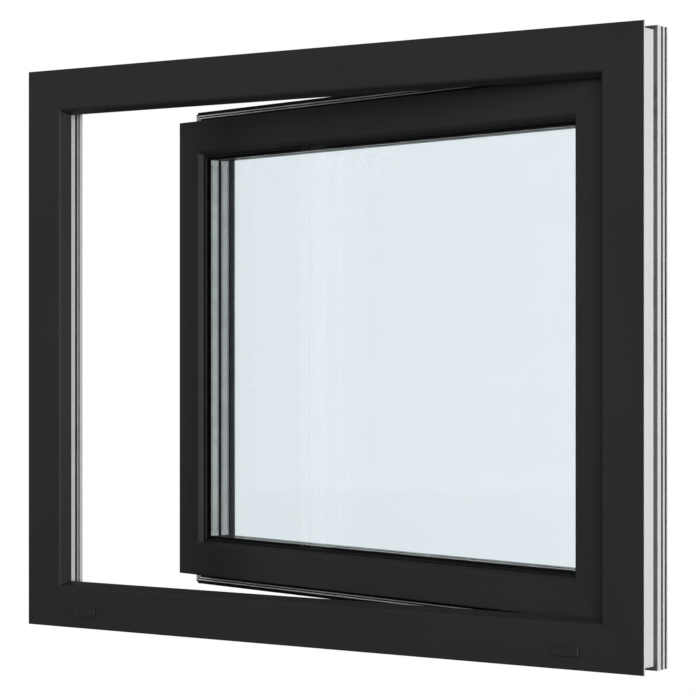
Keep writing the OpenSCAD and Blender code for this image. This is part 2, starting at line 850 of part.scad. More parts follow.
// Teeth along Z on the +X side, with a gap centred at height 0
module rack_teeth(first, last) {
    pitch = PI * gear_module;
    translate([0, rod_w / 2, 0]) rotate([90, 0, 0]) linear_extrude(rod_w) for (i = [first:last])
        translate([0, (i + 0.5) * pitch]) rotate(-90) rack_tooth();
}

function involute(base, roll) =
    let (turn = roll * PI / 180)
    base * [cos(roll) + turn * sin(roll), sin(roll) - turn * cos(roll)];

// One flank, from the base circle to the tip, turned so that the tooth is centred on the X axis
function flank(base, tip, half_angle, steps) =
    let (end_roll = sqrt(pow(tip / base, 2) - 1) * 180 / PI)
    [for (i = [0:steps]) let (p = involute(base, end_roll * i / steps), a = -half_angle)
        [p[0] * cos(a) - p[1] * sin(a), p[0] * sin(a) + p[1] * cos(a)]];

module pinion_outline() {
    base = pitch_r * cos(20);
    tip = pitch_r + 0.8 * gear_module;
    root = pitch_r - 1.3 * gear_module;
    inv = tan(20) * 180 / PI - 20;
    half_angle = 90 / gear_teeth + inv - backlash / pitch_r * 90 / PI;
    side = flank(base, tip, half_angle, 5);
    count = len(side);
    tooth = concat(
        [[root * cos(-half_angle), root * sin(-half_angle)]],
        side,
        [for (i = [count - 1:-1:0]) [side[i][0], -side[i][1]]],
        [[root * cos(half_angle), root * sin(half_angle)]]
    );
    polygon([for (k = [0:gear_teeth - 1]) let (a = 360 / gear_teeth * k) for (p = tooth)
        [p[0] * cos(a) - p[1] * sin(a), p[0] * sin(a) + p[1] * cos(a)]]);
}

module square_bar(side, length) {
    translate([-side / 2, 0, -side / 2]) cube([side, length, side]);
}

module drive_pinion() {
    gear_w = slot_w - 1.4;
    color(zinc) at_spindle() difference() {
        union() {
            translate([0, groove_t + gear_w / 2, 0]) rotate([90, 0, 0])
                linear_extrude(gear_w) pinion_outline();
            translate([0, groove_t - case_w / 2, 0]) y_cylinder(journal_r, case_w);
        }
        translate([0, groove_t - case_w / 2 - 1, 0]) square_bar(spindle_side + 0.2, case_w + 2);
    }
}

module gear_case() {
    y0 = groove_t - case_w / 2;
    color(cast_grey) in_lock_stile() difference() {
        translate([case_u[0], y0, handle_z - case_half_h])
            cube([case_u[1] - case_u[0], case_w, 2 * case_half_h]);
        translate([case_u[0] - 1, y0 + cheek_t, handle_z - case_half_h - 1])
            cube([case_u[1] - case_u[0] - 1, case_w - 2 * cheek_t, 2 * case_half_h + 2]);
        translate([backset, y0 - 1, handle_z]) y_cylinder(journal_r + running_fit, case_w + 2);
        for (z = [-1, 1]) translate([backset, y0 - 1, handle_z + z * handle_screw_z])
            y_cylinder(handle_screw_r + running_fit, case_w + 2);
    }
}

// Flat rod behind the faceplate; its slots let the faceplate's screws pass while it slides
module flat_rod(z0, z1, slot_from, slot_to, offsets) {
    difference() {
        translate([rod_outer_u, groove_t - rod_w / 2, z0]) cube([outer_rod_t, rod_w, z1 - z0]);
        for (offset = offsets)
            translate([rod_outer_u - 1, groove_t - rod_slot_w / 2, handle_z + offset + slot_from])
            cube([outer_rod_t + 2, rod_slot_w, slot_to - slot_from]);
    }
}

module bolt_end(z0) {
    translate([bolt_u, groove_t, z0]) cylinder(r = bolt_r, h = bolt_end_l);
}

module upper_bolt_rod() {
    rack_z = handle_z + rack_first * PI * gear_module;
    color(zinc) in_lock_stile() {
        flat_rod(rack_z, rod_top - bolt_end_l + 2, -bolt_travel - 3, 3, [screw_reach / 2, screw_reach]);
        translate([backset - pitch_r, groove_t, handle_z]) rack_teeth(rack_first, 1);
        bolt_end(rod_top - bolt_end_l);
    }
}

module lower_bolt_rod() {
    rack_z = handle_z - rack_first * PI * gear_module;
    inner_u = backset + pitch_r + rack_root;
    bottom_z = handle_z - crosspiece_drop;
    color(zinc) in_lock_stile() {
        flat_rod(rod_bottom + bolt_end_l - 2, bottom_z + crosspiece_h, -3, bolt_travel + 3,
            [-screw_reach / 2, -screw_reach]);
        translate([inner_u, groove_t - rod_w / 2, bottom_z]) cube([inner_rod_t, rod_w, rack_z - bottom_z]);
        translate([rod_outer_u, groove_t - rod_w / 2, bottom_z])
            cube([inner_u + inner_rod_t - rod_outer_u, rod_w, crosspiece_h]);
        translate([backset + pitch_r, groove_t, handle_z]) mirror([1, 0, 0]) rack_teeth(-2, -rack_first - 1);
        bolt_end(rod_bottom);
    }
}

module gear_faceplate() {
    color(zinc) in_lock_stile() difference() {
        translate([recess_d - faceplate_t - 0.1, groove_t - recess_w / 2 + 0.2, faceplate_end])
            cube([faceplate_t, recess_w - 0.4, sash_h - 2 * faceplate_end]);
        for (offset = screw_offsets) translate([-1, groove_t, handle_z + offset])
            x_cylinder(faceplate_screw_r + 0.1, 6);
    }
}

module faceplate_screws() {
    head_t = 1;
    color(zinc) in_lock_stile() for (offset = screw_offsets) translate([0, groove_t, handle_z + offset]) {
        translate([-head_t + 0.1, 0, 0]) x_cylinder(faceplate_screw_r * 1.9, head_t);
        x_cylinder(faceplate_screw_r, slot_d + wall + 3);
    }
}

module bolt_guide(z0) {
    color(guide_grey) in_lock_stile() difference() {
        translate([0.3, groove_t - slot_w / 2 + 0.2, z0]) cube([slot_d - 0.5, slot_w - 0.4, guide_l]);
        translate([bolt_u, groove_t, z0 - 1]) cylinder(r = bolt_r + running_fit, h = guide_l + 2);
    }
}

// ---------- handle ----------

module rounded_plate(size, radius) {
    translate([0, size[1], 0]) rotate([90, 0, 0]) linear_extrude(size[1]) polygon(rounded([
        [-size[0] / 2, -size[2] / 2, radius], [size[0] / 2, -size[2] / 2, radius],
        [size[0] / 2, size[2] / 2, radius], [-size[0] / 2, size[2] / 2, radius]
    ], 8));
}

module handle_base() {
    color(base_grey) at_spindle() translate([0, sash_depth, 0]) difference() {
        rounded_plate(base_size, 5);
        translate([0, -1, 0]) y_cylinder(shank_r + running_fit, 12);
        for (z = [-1, 1]) translate([0, 0, z * handle_screw_z]) {
            translate([0, -1, 0]) y_cylinder(handle_screw_r + 0.1, 12);
            translate([0, screw_seat, 0]) y_cylinder(handle_screw_r * 1.9, 5);
        }
    }
}

module handle_rose() {
    pocket = base_size + [2 * fit, 2 * fit, 2 * fit];
    color(handle_black) at_spindle() translate([0, sash_depth, 0]) difference() {
        rounded_plate(rose, 7);
        translate([0, -fit, 0]) rounded_plate(pocket, 5.3);
        translate([0, 1, 0]) y_cylinder(shank_r + fit, 12);
    }
}

module handle_screws() {
    length = sash_depth + screw_seat - groove_t + 6;
    color(zinc) at_spindle() for (z = [-1, 1])
        translate([0, sash_depth + screw_seat, z * handle_screw_z]) {
            y_cylinder(handle_screw_r * 1.8, 2.6);
            translate([0, -length + 0.1, 0]) y_cylinder(handle_screw_r, length);
        }
}

module handle_spindle() {
    color(zinc) at_spindle() translate([0, groove_t - 7, 0])
        square_bar(spindle_side, sash_depth - groove_t + 7 + 9);
}

// Cranked lever: a round shank, a neck that leans to the frame side, and a long flat grip
module handle_lever() {
    grip_y = sash_depth + finger_gap;
    color(handle_black) at_spindle() {
        difference() {
            translate([0, sash_depth + fit, 0]) y_cylinder(shank_r, rose[1] + 2.5);
            translate([0, sash_depth - 1, 0]) square_bar(spindle_side + 0.2, 11);
        }
        hull() {
            translate([0, sash_depth + rose[1] + 1, 0]) y_cylinder(shank_r - 0.6, 1.3, $fn = 32);
            translate([-crank_offset, grip_y + 1, 0]) y_cylinder(grip_w / 2 - 0.6, grip_t - 4, $fn = 32);
        }
        hull() for (z = [0, grip_l - grip_w / 2]) translate([-crank_offset, grip_y, z]) {
            translate([0, 1.5, 0]) y_cylinder(grip_w / 2, grip_t - 3, $fn = 32);
            y_cylinder(grip_w / 2 - 2, grip_t, $fn = 32);
        }
    }
}

frame_head();
frame_sill();
frame_lock_jamb();
frame_hinge_jamb();
frame_steel("top");  // frame_head_steel
frame_steel("bottom");  // frame_sill_steel
frame_steel("left");  // frame_lock_jamb_steel
frame_steel("right");  // frame_hinge_jamb_steel
frame_gasket();
drain_cap(-1);  // drain_cap_left
drain_cap(1);  // drain_cap_right
bolt_keeper(frame_h - floor_u, -1);  // bolt_keeper_top
bolt_keeper(floor_u, 1);  // bolt_keeper_bottom
keeper_screws();
run_up_block();
hinge_bracket(0);  // hinge_bracket_lower
hinge_bracket(1);  // hinge_bracket_upper
hinge_pin(0);  // hinge_pin_lower
hinge_pin(1);  // hinge_pin_upper
bracket_screws();
sash_top_rail();
sash_bottom_rail();
sash_lock_stile();
sash_hinge_stile();
color(zinc) sash_steel("top");  // sash_top_rail_steel
color(zinc) sash_steel("bottom");  // sash_bottom_rail_steel
sash_lock_stile_steel();
sash_hinge_stile_steel();
overlap_gasket();
outer_glazing_gasket();
inner_glazing_gasket();
outer_pane();
middle_pane();
inner_pane();
outer_spacer();
inner_spacer();
outer_edge_seal();
inner_edge_seal();
setting_blocks();
glazing_bead("top");  // glazing_bead_top
glazing_bead("bottom");  // glazing_bead_bottom
glazing_bead("left");  // glazing_bead_lock_side
glazing_bead("right");  // glazing_bead_hinge_side
hinge_leaf(0);  // hinge_leaf_lower
hinge_leaf(1);  // hinge_leaf_upper
leaf_screws();
gear_faceplate();
faceplate_screws();
gear_case();
bolt_guide(sash_h - guide_end - guide_l);  // bolt_guide_top
bolt_guide(guide_end);  // bolt_guide_bottom
handle_base();
handle_rose();
handle_screws();
handle_lever();
handle_spindle();
drive_pinion();
upper_bolt_rod();
lower_bolt_rod();
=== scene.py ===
import json
import math

import bmesh
import bpy
from bpy.props import FloatProperty, FloatVectorProperty, IntProperty, PointerProperty
from mathutils import Matrix, Vector


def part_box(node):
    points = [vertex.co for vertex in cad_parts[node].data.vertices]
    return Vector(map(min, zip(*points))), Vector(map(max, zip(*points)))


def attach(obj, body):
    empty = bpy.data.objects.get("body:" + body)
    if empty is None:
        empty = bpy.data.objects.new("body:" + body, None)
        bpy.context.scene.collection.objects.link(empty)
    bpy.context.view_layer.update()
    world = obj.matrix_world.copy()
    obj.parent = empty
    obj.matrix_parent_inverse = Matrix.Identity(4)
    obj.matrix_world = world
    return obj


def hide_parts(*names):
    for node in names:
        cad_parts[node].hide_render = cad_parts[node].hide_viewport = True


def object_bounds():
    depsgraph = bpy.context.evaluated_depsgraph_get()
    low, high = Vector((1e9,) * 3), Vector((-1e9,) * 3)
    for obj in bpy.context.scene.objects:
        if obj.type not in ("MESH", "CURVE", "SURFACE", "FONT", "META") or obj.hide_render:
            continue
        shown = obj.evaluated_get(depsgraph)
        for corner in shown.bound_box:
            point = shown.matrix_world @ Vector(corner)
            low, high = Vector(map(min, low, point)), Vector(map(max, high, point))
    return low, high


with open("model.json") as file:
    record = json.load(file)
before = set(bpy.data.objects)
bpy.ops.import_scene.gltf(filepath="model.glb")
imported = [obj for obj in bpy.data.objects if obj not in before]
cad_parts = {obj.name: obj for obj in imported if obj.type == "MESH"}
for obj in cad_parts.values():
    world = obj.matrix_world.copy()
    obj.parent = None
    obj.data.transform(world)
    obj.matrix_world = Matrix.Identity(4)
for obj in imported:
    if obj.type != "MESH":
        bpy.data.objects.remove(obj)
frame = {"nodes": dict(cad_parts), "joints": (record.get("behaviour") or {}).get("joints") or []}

bl_info = {
    "name": "Turn window finishes",
    "version": (1, 0, 0),
    "blender": (4, 5, 0),
    "location": "3D View > Sidebar > Turn window",
    "description": "Finishes, fittings and a studio for an inward-opening window of foiled plastic bars",
    "category": "Object",
}

CAD_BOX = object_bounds()
NODES = frame["nodes"]
JOINTS = {joint["name"]: joint for joint in frame["joints"]}
HINGE = Vector(JOINTS["sash_swing"]["pos_m"])
SPINDLE = Vector(JOINTS["handle_turn"]["pos_m"])
ROOM_WARD = Vector(JOINTS["handle_turn"]["axis"])

# The sash stands open by this turn about the hinge pins; OPENED takes a closed-sash point to where it stands
SWING = math.atan2(ROOM_WARD.x, ROOM_WARD.y)
OPENED = Matrix.Translation(HINGE) @ Matrix.Rotation(-SWING, 4, "Z") @ Matrix.Translation(-HINGE)
CLOSED = OPENED.inverted()

MM = 0.001


def closed_box(node):
    """Lowest and highest corner of a sash node as if the sash were shut."""
    places = [CLOSED @ v.co for v in NODES[node].data.vertices]
    return (Vector(min(p[i] for p in places) for i in range(3)),
            Vector(max(p[i] for p in places) for i in range(3)))


HEAD_LOW, HEAD_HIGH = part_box("frame_head")
FRAME_WIDTH = HEAD_HIGH.x - HEAD_LOW.x
FRAME_HEIGHT = HEAD_HIGH.z
FRAME_DEPTH = HEAD_HIGH.y
GASKET_SEAT_DEPTH = 2.7 * MM
LIP_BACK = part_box("frame_gasket")[1].y - GASKET_SEAT_DEPTH
RAIL_LOW, RAIL_HIGH = closed_box("sash_top_rail")
STILE_LOW = closed_box("sash_lock_stile")[0]
SASH_PLAN = (RAIL_HIGH.x - RAIL_LOW.x, RAIL_HIGH.z - STILE_LOW.z, STILE_LOW.z)


# ---------- node helpers ----------

def feed(tree, socket, value):
    """Links a socket to another socket, or sets its own value."""
    if isinstance(value, bpy.types.NodeSocket):
        tree.links.new(value, socket)
    else:
        socket.default_value = value


def made(tree, kind, inputs=None, **choices):
    """A new node with its choices set and its inputs fed, by name or by number."""
    node = tree.nodes.new(kind)
    for key, value in choices.items():
        setattr(node, key, value)
    for key, value in (inputs or {}).items():
        feed(tree, node.inputs[key], value)
    return node


def maths(tree, operation, *values):
    return made(tree, "ShaderNodeMath", dict(enumerate(values)), operation=operation).outputs[0]


def plus(tree, a, b):
    return maths(tree, "ADD", a, b)


def minus(tree, a, b):
    return maths(tree, "SUBTRACT", a, b)


def times(tree, a, b):
    return maths(tree, "MULTIPLY", a, b)


def vector_maths(tree, operation, *values):
    return made(tree, "ShaderNodeVectorMath", dict(enumerate(values)), operation=operation).outputs[0]


def remap(tree, value, low, high, to_low=0.0, to_high=1.0):
    """Smooth step from to_low at low to to_high at high."""
    limits = {"Value": value, "From Min": low, "From Max": high, "To Min": to_low, "To Max": to_high}
    return made(tree, "ShaderNodeMapRange", limits, interpolation_type="SMOOTHSTEP").outputs[0]


def blend_number(tree, factor, a, b):
    return made(tree, "ShaderNodeMix", {0: factor, 2: a, 3: b}, data_type="FLOAT").outputs[0]


def opaque(colour):
    """A colour for a colour socket: a socket stays as it is, and three numbers get their alpha."""
    return colour if isinstance(colour, bpy.types.NodeSocket) else (*colour[:3], 1.0)


def blend_colour(tree, factor, a, b, mode="MIX"):
    return made(tree, "ShaderNodeMix", {0: factor, 6: opaque(a), 7: opaque(b)},
                data_type="RGBA", blend_type=mode).outputs[2]


def toned(tree, colour, tone):
    """A colour times a number."""
    grey = made(tree, "ShaderNodeCombineColor", {0: tone, 1: tone, 2: tone}).outputs[0]
    return blend_colour(tree, 1.0, colour, grey, "MULTIPLY")


def noise(tree, vector, scale, detail=3.0, roughness=0.55):
    inputs = {"Vector": vector, "Scale": scale, "Detail": detail, "Roughness": roughness}
    return made(tree, "ShaderNodeTexNoise", inputs).outputs["Fac"]


def cells(tree, vector, scale, feature="F1"):
    return made(tree, "ShaderNodeTexVoronoi", {"Vector": vector, "Scale": scale}, feature=feature).outputs


def separate(tree, vector):
    return made(tree, "ShaderNodeSeparateXYZ", {0: vector}).outputs


def combine(tree, x, y, z):
    return made(tree, "ShaderNodeCombineXYZ", {0: x, 1: y, 2: z}).outputs[0]


def measured(tree, vector, size):
    """A vector counted in steps of one size."""
    return vector_maths(tree, "DIVIDE", vector, combine(tree, size, size, size))


def mix_shaders(tree, factor, a, b):
    return made(tree, "ShaderNodeMixShader", {0: factor, 1: a, 2: b}).outputs[0]


def socketed_tree(name, kind, inputs, outputs):
    """A new node tree with named sockets: the tree, its inputs by name and its outputs by name."""
    tree = bpy.data.node_groups.new(name, kind)
    for label, socket_type, default in inputs:
        socket = tree.interface.new_socket(label, in_out="INPUT", socket_type=socket_type)
        if default is not None:
            socket.default_value = default
    for label, socket_type in outputs:
        tree.interface.new_socket(label, in_out="OUTPUT", socket_type=socket_type)
    return tree, tree.nodes.new("NodeGroupInput").outputs, tree.nodes.new("NodeGroupOutput").inputs


def use_group(tree, name, **values):
    """Places a built group; underscores in the keywords stand for spaces in the socket names."""
    inputs = {key.replace("_", " "): value for key, value in values.items()}
    return made(tree, "ShaderNodeGroup", inputs, node_tree=bpy.data.node_groups[name]).outputs


# ---------- shared effects ----------

FLOAT, VECTOR = "NodeSocketFloat", "NodeSocketVector"


def shader_group(name, inputs, *outputs):
    """A shader group whose outputs are numbers, apart from those whose name ends in Vector."""
    return socketed_tree(name, "ShaderNodeTree", inputs,
                         [(label, VECTOR if label.endswith("Vector") else FLOAT) for label in outputs])


def build_bar_coordinates():
    """Turns a place on a rectangle of four mitred bars into across, depth and along, on any of the bars."""
    tree, source, sink = shader_group(
        "Bar coordinates", [("Vector", VECTOR, None), ("Width", FLOAT, 1.0), ("Height", FLOAT, 1.0)],
        "Bar Vector", "Edge Distance", "Mitre Distance", "Depth", "Upright")
    x, y, z = separate(tree, source["Vector"])
    half_height = times(tree, source["Height"], 0.5)
    side = minus(tree, times(tree, source["Width"], 0.5), maths(tree, "ABSOLUTE", x))
    level = minus(tree, half_height, maths(tree, "ABSOLUTE", minus(tree, z, half_height)))
    upright = maths(tree, "LESS_THAN", side, level)
    across = blend_number(tree, upright, level, side)
    along = blend_number(tree, upright, x, z)
    off_mitre = maths(tree, "ABSOLUTE", minus(tree, side, level))
    tree.links.new(combine(tree, across, y, along), sink["Bar Vector"])
    tree.links.new(maths(tree, "MINIMUM", side, level), sink["Edge Distance"])
    tree.links.new(times(tree, off_mitre, math.sqrt(0.5)), sink["Mitre Distance"])
    tree.links.new(y, sink["Depth"])
    tree.links.new(upright, sink["Upright"])


def build_foil_grain():
    """Fine pores drawn out along the bar, with a slow change of tone."""
    tree, source, sink = shader_group(
        "Foil grain", [("Bar Vector", VECTOR, None), ("Grain Size", FLOAT, 0.0012)], "Height", "Tone")
    drawn = vector_maths(tree, "MULTIPLY", source["Bar Vector"], (1.0, 1.0, 0.3))
    grain = measured(tree, drawn, source["Grain Size"])
    pores = cells(tree, grain, 1.0, "SMOOTH_F1")["Distance"]
    leather = noise(tree, grain, 0.7, 4.0, 0.65)
    tree.links.new(plus(tree, times(tree, pores, 0.45), times(tree, leather, 0.55)), sink["Height"])
    tree.links.new(remap(tree, noise(tree, drawn, 9.0, 2.0), 0.25, 0.75, 0.93, 1.07), sink["Tone"])


def build_extrusion_lines():
    """Faint lines that a die leaves along a bar."""
    tree, source, sink = shader_group(
        "Extrusion lines", [("Bar Vector", VECTOR, None), ("Fineness", FLOAT, 700.0)], "Height", "Tone")
    fine = combine(tree, source["Fineness"], source["Fineness"], 1.5)
    lines = noise(tree, vector_maths(tree, "MULTIPLY", source["Bar Vector"], fine), 1.0, 3.0, 0.6)
    tree.links.new(lines, sink["Height"])
    tree.links.new(remap(tree, lines, 0.3, 0.7, 0.965, 1.02), sink["Tone"])


def build_weld_seam():
    """The trimmed groove of a welded mitre: 1 in the groove and 0 away from it."""
    tree, source, sink = shader_group(
        "Weld seam", [("Mitre Distance", FLOAT, 0.0), ("Seam Width", FLOAT, 0.0003)], "Groove", "Trimmed")
    wide = times(tree, source["Seam Width"], 5.0)
    for label, reach in (("Groove", source["Seam Width"]), ("Trimmed", wide)):
        tree.links.new(remap(tree, source["Mitre Distance"], 0.0, reach, 1.0, 0.0), sink[label])


def build_handling_marks():
    """Soft patches and a little settled dust, which change gloss more than colour."""
    tree, source, sink = shader_group(
        "Handling marks", [("Vector", VECTOR, None), ("Scale", FLOAT, 14.0)], "Patches", "Dust")
    scale = combine(tree, source["Scale"], source["Scale"], source["Scale"])
    scaled = vector_maths(tree, "MULTIPLY", source["Vector"], scale)
    patches = noise(tree, scaled, 1.0, 5.0, 0.6)
    specks = noise(tree, scaled, 60.0, 1.0)
    tree.links.new(remap(tree, patches, 0.42, 0.72), sink["Patches"])
    dust_and_groove_shade = times(tree, remap(tree, specks, 0.66, 0.76), remap(tree, patches, 0.4, 0.6))
    tree.links.new(dust_and_groove_shade, sink["Dust"])


def build_zinc_skin():
    """Crystal patches of a zinc coat with fine rolling lines over them."""
    tree, source, sink = shader_group(
        "Zinc skin", [("Vector", VECTOR, None), ("Crystal Size", FLOAT, 0.006)],
        "Tone", "Roughness", "Height")
    crystals = cells(tree, measured(tree, source["Vector"], source["Crystal Size"]), 1.0)
    crystal = separate(tree, crystals["Color"])[0]
    rolled = noise(tree, vector_maths(tree, "MULTIPLY", source["Vector"], (4000.0, 4000.0, 120.0)), 1.0, 2.0)
    tone = plus(tree, times(tree, crystal, 0.6), times(tree, rolled, 0.4))
    tree.links.new(remap(tree, tone, 0.0, 1.0, 0.82, 1.08), sink["Tone"])
    tree.links.new(remap(tree, crystal, 0.0, 1.0, 0.3, 0.46), sink["Roughness"])
    tree.links.new(rolled, sink["Height"])


def build_moulded_skin():
    """The fine spark-eroded texture of moulded plastic, rubber and powder coat."""
    tree, source, sink = shader_group(
        "Moulded skin", [("Vector", VECTOR, None), ("Grain Size", FLOAT, 0.0006)], "Height", "Tone")
    scaled = measured(tree, source["Vector"], source["Grain Size"])
    tree.links.new(noise(tree, scaled, 1.0, 3.0, 0.6), sink["Height"])
    tree.links.new(remap(tree, noise(tree, scaled, 0.03, 2.0), 0.3, 0.7, 0.92, 1.08), sink["Tone"])


def build_sheltered_band():
    """1 between two depths and two distances from the edge: the walls and floor of a groove."""
    labels = ("Depth", "Edge Distance", "Depth From", "Depth To", "Edge From", "Edge To")
    tree, source, sink = shader_group("Sheltered band", [(label, FLOAT, 0.0) for label in labels], "Mask")
    mask = 1.0
    for measure, limit in (("Depth", "Depth"), ("Edge Distance", "Edge")):
        mask = times(tree, mask, maths(tree, "GREATER_THAN", source[measure], source[limit + " From"]))
        mask = times(tree, mask, maths(tree, "LESS_THAN", source[measure], source[limit + " To"]))
    tree.links.new(mask, sink["Mask"])


def build_groups():
    for build in (build_bar_coordinates, build_foil_grain, build_extrusion_lines, build_weld_seam,
                  build_handling_marks, build_zinc_skin, build_moulded_skin, build_sheltered_band):
        build()


def mitred(tree, place, width, height):
    """Bar coordinates on a rectangle of bars that stands on level zero, centred across."""
    return use_group(tree, "Bar coordinates", Vector=place, Width=width, Height=height)


def sheltered(tree, bar, bands):
    """The largest mask of several bands, each in millimetres of depth and of distance from the bars' edge."""
    mask = 0.0
    for depth_from, depth_to, edge_from, edge_to in bands:
        band = use_group(tree, "Sheltered band", Depth=bar["Depth"], Edge_Distance=bar["Edge Distance"],
                         Depth_From=depth_from * MM, Depth_To=depth_to * MM,
                         Edge_From=edge_from * MM, Edge_To=edge_to * MM)
        mask = maths(tree, "MAXIMUM", mask, band["Mask"])
    return mask


# ---------- finishes ----------

# Bands as (depth from, depth to, edge distance from, edge distance to), in millimetres: the walls and floors
# of the frame bars' channel, notches and rebate grooves, darkened as painted shade; the front of the sash's
# flange, blackened as painted shade; and the two ridges of the overlap gasket, made pale as painted highlights
FRAME_GROOVE_SHADE = ((40.2, 42.2, 1.8, 7.6), (51.9, 57.2, 1.8, 8.2), (62.4, 67.4, 1.8, 8.2),
                 (51.3, 57.0, 40.0, 48.9), (58.9, 62.2, 40.0, 48.9))
FLANGE_SHADE = ((30.0, 90.0, -1.0, 21.45),)
GASKET_RIDGE_HIGHLIGHTS = ((0.0, 200.0, 6.3, 7.9), (0.0, 200.0, 9.6, 11.0))

# How far the frame's foil wraps in from the outside face, the room face and the lip, and where the lip starts
OUTSIDE_WRAP = 0.9 * MM
ROOM_WRAP = 1.2 * MM
LIP_EDGE = 60.0 * MM
LIP_WRAP = 0.3 * MM

MIRROR_TINT = (0.97, 0.99, 1.0)
FOIL_DUST = (0.4, 0.4, 0.38)
SKIN_DUST = (0.45, 0.44, 0.42)
CORE_PATCH = (0.62, 0.61, 0.58)
SEAM_SHADOW = (0.01, 0.01, 0.01)
# Painted shade: near-black for the front of the sash's flange, which the frame's lip shades
FLANGE_SHADE_COLOUR = (0.007, 0.007, 0.007)
# Painted shade: near-black for the spacers' level runs at head and sill
LEVEL_RUN_SHADE = (0.012, 0.013, 0.013)
RUBBER_BLACK = (0.008, 0.008, 0.008)


def new_finish(name, **numbers):
    """A material with one Principled node: its tree, the shader's inputs and the object coordinates."""
    material = bpy.data.materials.new(name)
    material.use_nodes = True
    tree = material.node_tree
    shader = tree.nodes["Principled BSDF"].inputs
    for key, value in numbers.items():
        shader[key.replace("_", " ")].default_value = value
    return material, tree, shader, tree.nodes.new("ShaderNodeTexCoord").outputs["Object"]


def bump(tree, height, distance, shader):
    raised = made(tree, "ShaderNodeBump", {"Distance": distance, "Height": height}).outputs[0]
    tree.links.new(raised, shader["Normal"])


def shut_place(tree, place, base=0.0):
    """Object coordinates turned back to the shut sash, with a level of its own at zero."""
    back = CLOSED.to_translation()
    turn = {"Vector": place, "Rotation": (0.0, 0.0, SWING), "Location": (back.x, back.y, -base)}
    return made(tree, "ShaderNodeMapping", turn).outputs[0]


def foil_layer(tree, bar, place, settings, lightness=1.0):
    """The dark foil's colour, roughness and height on mitred bars, and the marks that handling left."""
    grain = use_group(tree, "Foil grain", Bar_Vector=bar["Bar Vector"], Grain_Size=settings.grain_size)
    marks = use_group(tree, "Handling marks", Vector=place)
    colour = toned(tree, settings.foil_colour, times(tree, grain["Tone"], lightness))
    colour = blend_colour(tree, times(tree, marks["Dust"], 0.05), colour, FOIL_DUST)
    change = minus(tree, times(tree, grain["Height"], 0.12), times(tree, marks["Patches"], 0.05))
    return colour, plus(tree, settings.foil_roughness, change), grain["Height"], marks


def weld(tree, bar, settings, shader, colour, rough, height):
    """Trims the weld seams of the mitres into a finish and gives the result to the shader."""
    seam = use_group(tree, "Weld seam", Mitre_Distance=bar["Mitre Distance"], Seam_Width=settings.seam_width)
    colour = blend_colour(tree, times(tree, seam["Groove"], 0.5), colour, SEAM_SHADOW)
    tree.links.new(colour, shader["Base Color"])
    tree.links.new(plus(tree, rough, times(tree, seam["Trimmed"], 0.08)), shader["Roughness"])
    bump(tree, minus(tree, height, times(tree, seam["Groove"], 2.5)), settings.grain_depth, shader)


def frame_bar_finish(settings):
    """Dark foil on the outside face, the lip and the room face; white plastic everywhere else, with painted
    shade darkening its narrow grooves.
    """
    material, tree, shader, place = new_finish("foiled_frame_bar", Specular_IOR_Level=settings.foil_shine)
    bar = mitred(tree, place, FRAME_WIDTH, FRAME_HEIGHT)
    foil_colour, foil_rough, foil_height, marks = foil_layer(tree, bar, place, settings)
    lines = use_group(tree, "Extrusion lines", Bar_Vector=bar["Bar Vector"])
    outside = maths(tree, "LESS_THAN", bar["Depth"], OUTSIDE_WRAP)
    on_lip = times(tree, maths(tree, "GREATER_THAN", bar["Edge Distance"], LIP_EDGE),
                   maths(tree, "LESS_THAN", bar["Depth"], LIP_BACK + LIP_WRAP))
    room = maths(tree, "GREATER_THAN", bar["Depth"], FRAME_DEPTH - ROOM_WRAP)
    foiled = maths(tree, "MAXIMUM", maths(tree, "MAXIMUM", outside, on_lip), room)
    core = toned(tree, settings.core_colour, lines["Tone"])
    core = blend_colour(tree, times(tree, marks["Patches"], 0.12), core, CORE_PATCH)
    # Painted shade: grey darkens the white plastic on the walls and floors of the channel, notches and rebate
    # grooves
    patchy = remap(tree, marks["Patches"], 0.0, 1.0, 0.93, 1.0)
    dust_and_groove_shade = times(tree, sheltered(tree, bar, FRAME_GROOVE_SHADE), patchy)
    core = blend_colour(tree, dust_and_groove_shade, core, settings.groove_shade_colour)
    core_rough = plus(tree, 0.34, times(tree, marks["Patches"], 0.12))
    weld(tree, bar, settings, shader, blend_colour(tree, foiled, core, foil_colour),
         blend_number(tree, foiled, core_rough, foil_rough),
         blend_number(tree, foiled, times(tree, lines["Height"], 0.35), foil_height))
    return material


def sash_bar_finish(settings, name, width, height, base, bare=()):
    """Dark foil over a rectangle of sash bars or beads, with bands of near-black painted shade."""
    material, tree, shader, place = new_finish(name, Specular_IOR_Level=settings.foil_shine)
    shut = shut_place(tree, place, base)
    bar = mitred(tree, shut, width, height)
    colour, rough, relief, _ = foil_layer(tree, bar, shut, settings, settings.sash_tone)
    # Painted shade: the front of the sash's flange is made near-black where the frame's lip shades it
    if bare:
        colour = blend_colour(tree, sheltered(tree, bar, bare), colour, FLANGE_SHADE_COLOUR)
    weld(tree, bar, settings, shader, colour, rough, relief)
    return material


def glass_finish(name, tint, ior):
    """A thin flat pane: it lets light straight through and mirrors by angle, alike at both of its faces."""
    material = bpy.data.materials.new(name)
    material.use_nodes = True
    tree = material.node_tree
    tree.nodes.remove(tree.nodes["Principled BSDF"])
    clear = made(tree, "ShaderNodeBsdfTransparent", {"Color": opaque(tint)}).outputs[0]
    mirror = made(tree, "ShaderNodeBsdfGlossy", {"Roughness": 0.0, "Color": opaque(MIRROR_TINT)}).outputs[0]
    behind = tree.nodes.new("ShaderNodeNewGeometry").outputs["Backfacing"]
    fresnel = made(tree, "ShaderNodeFresnel", {"IOR": blend_number(tree, behind, ior, 1.0 / ior)}).outputs[0]
    tree.links.new(mix_shaders(tree, fresnel, clear, mirror), tree.nodes["Material Output"].inputs["Surface"])
    return material


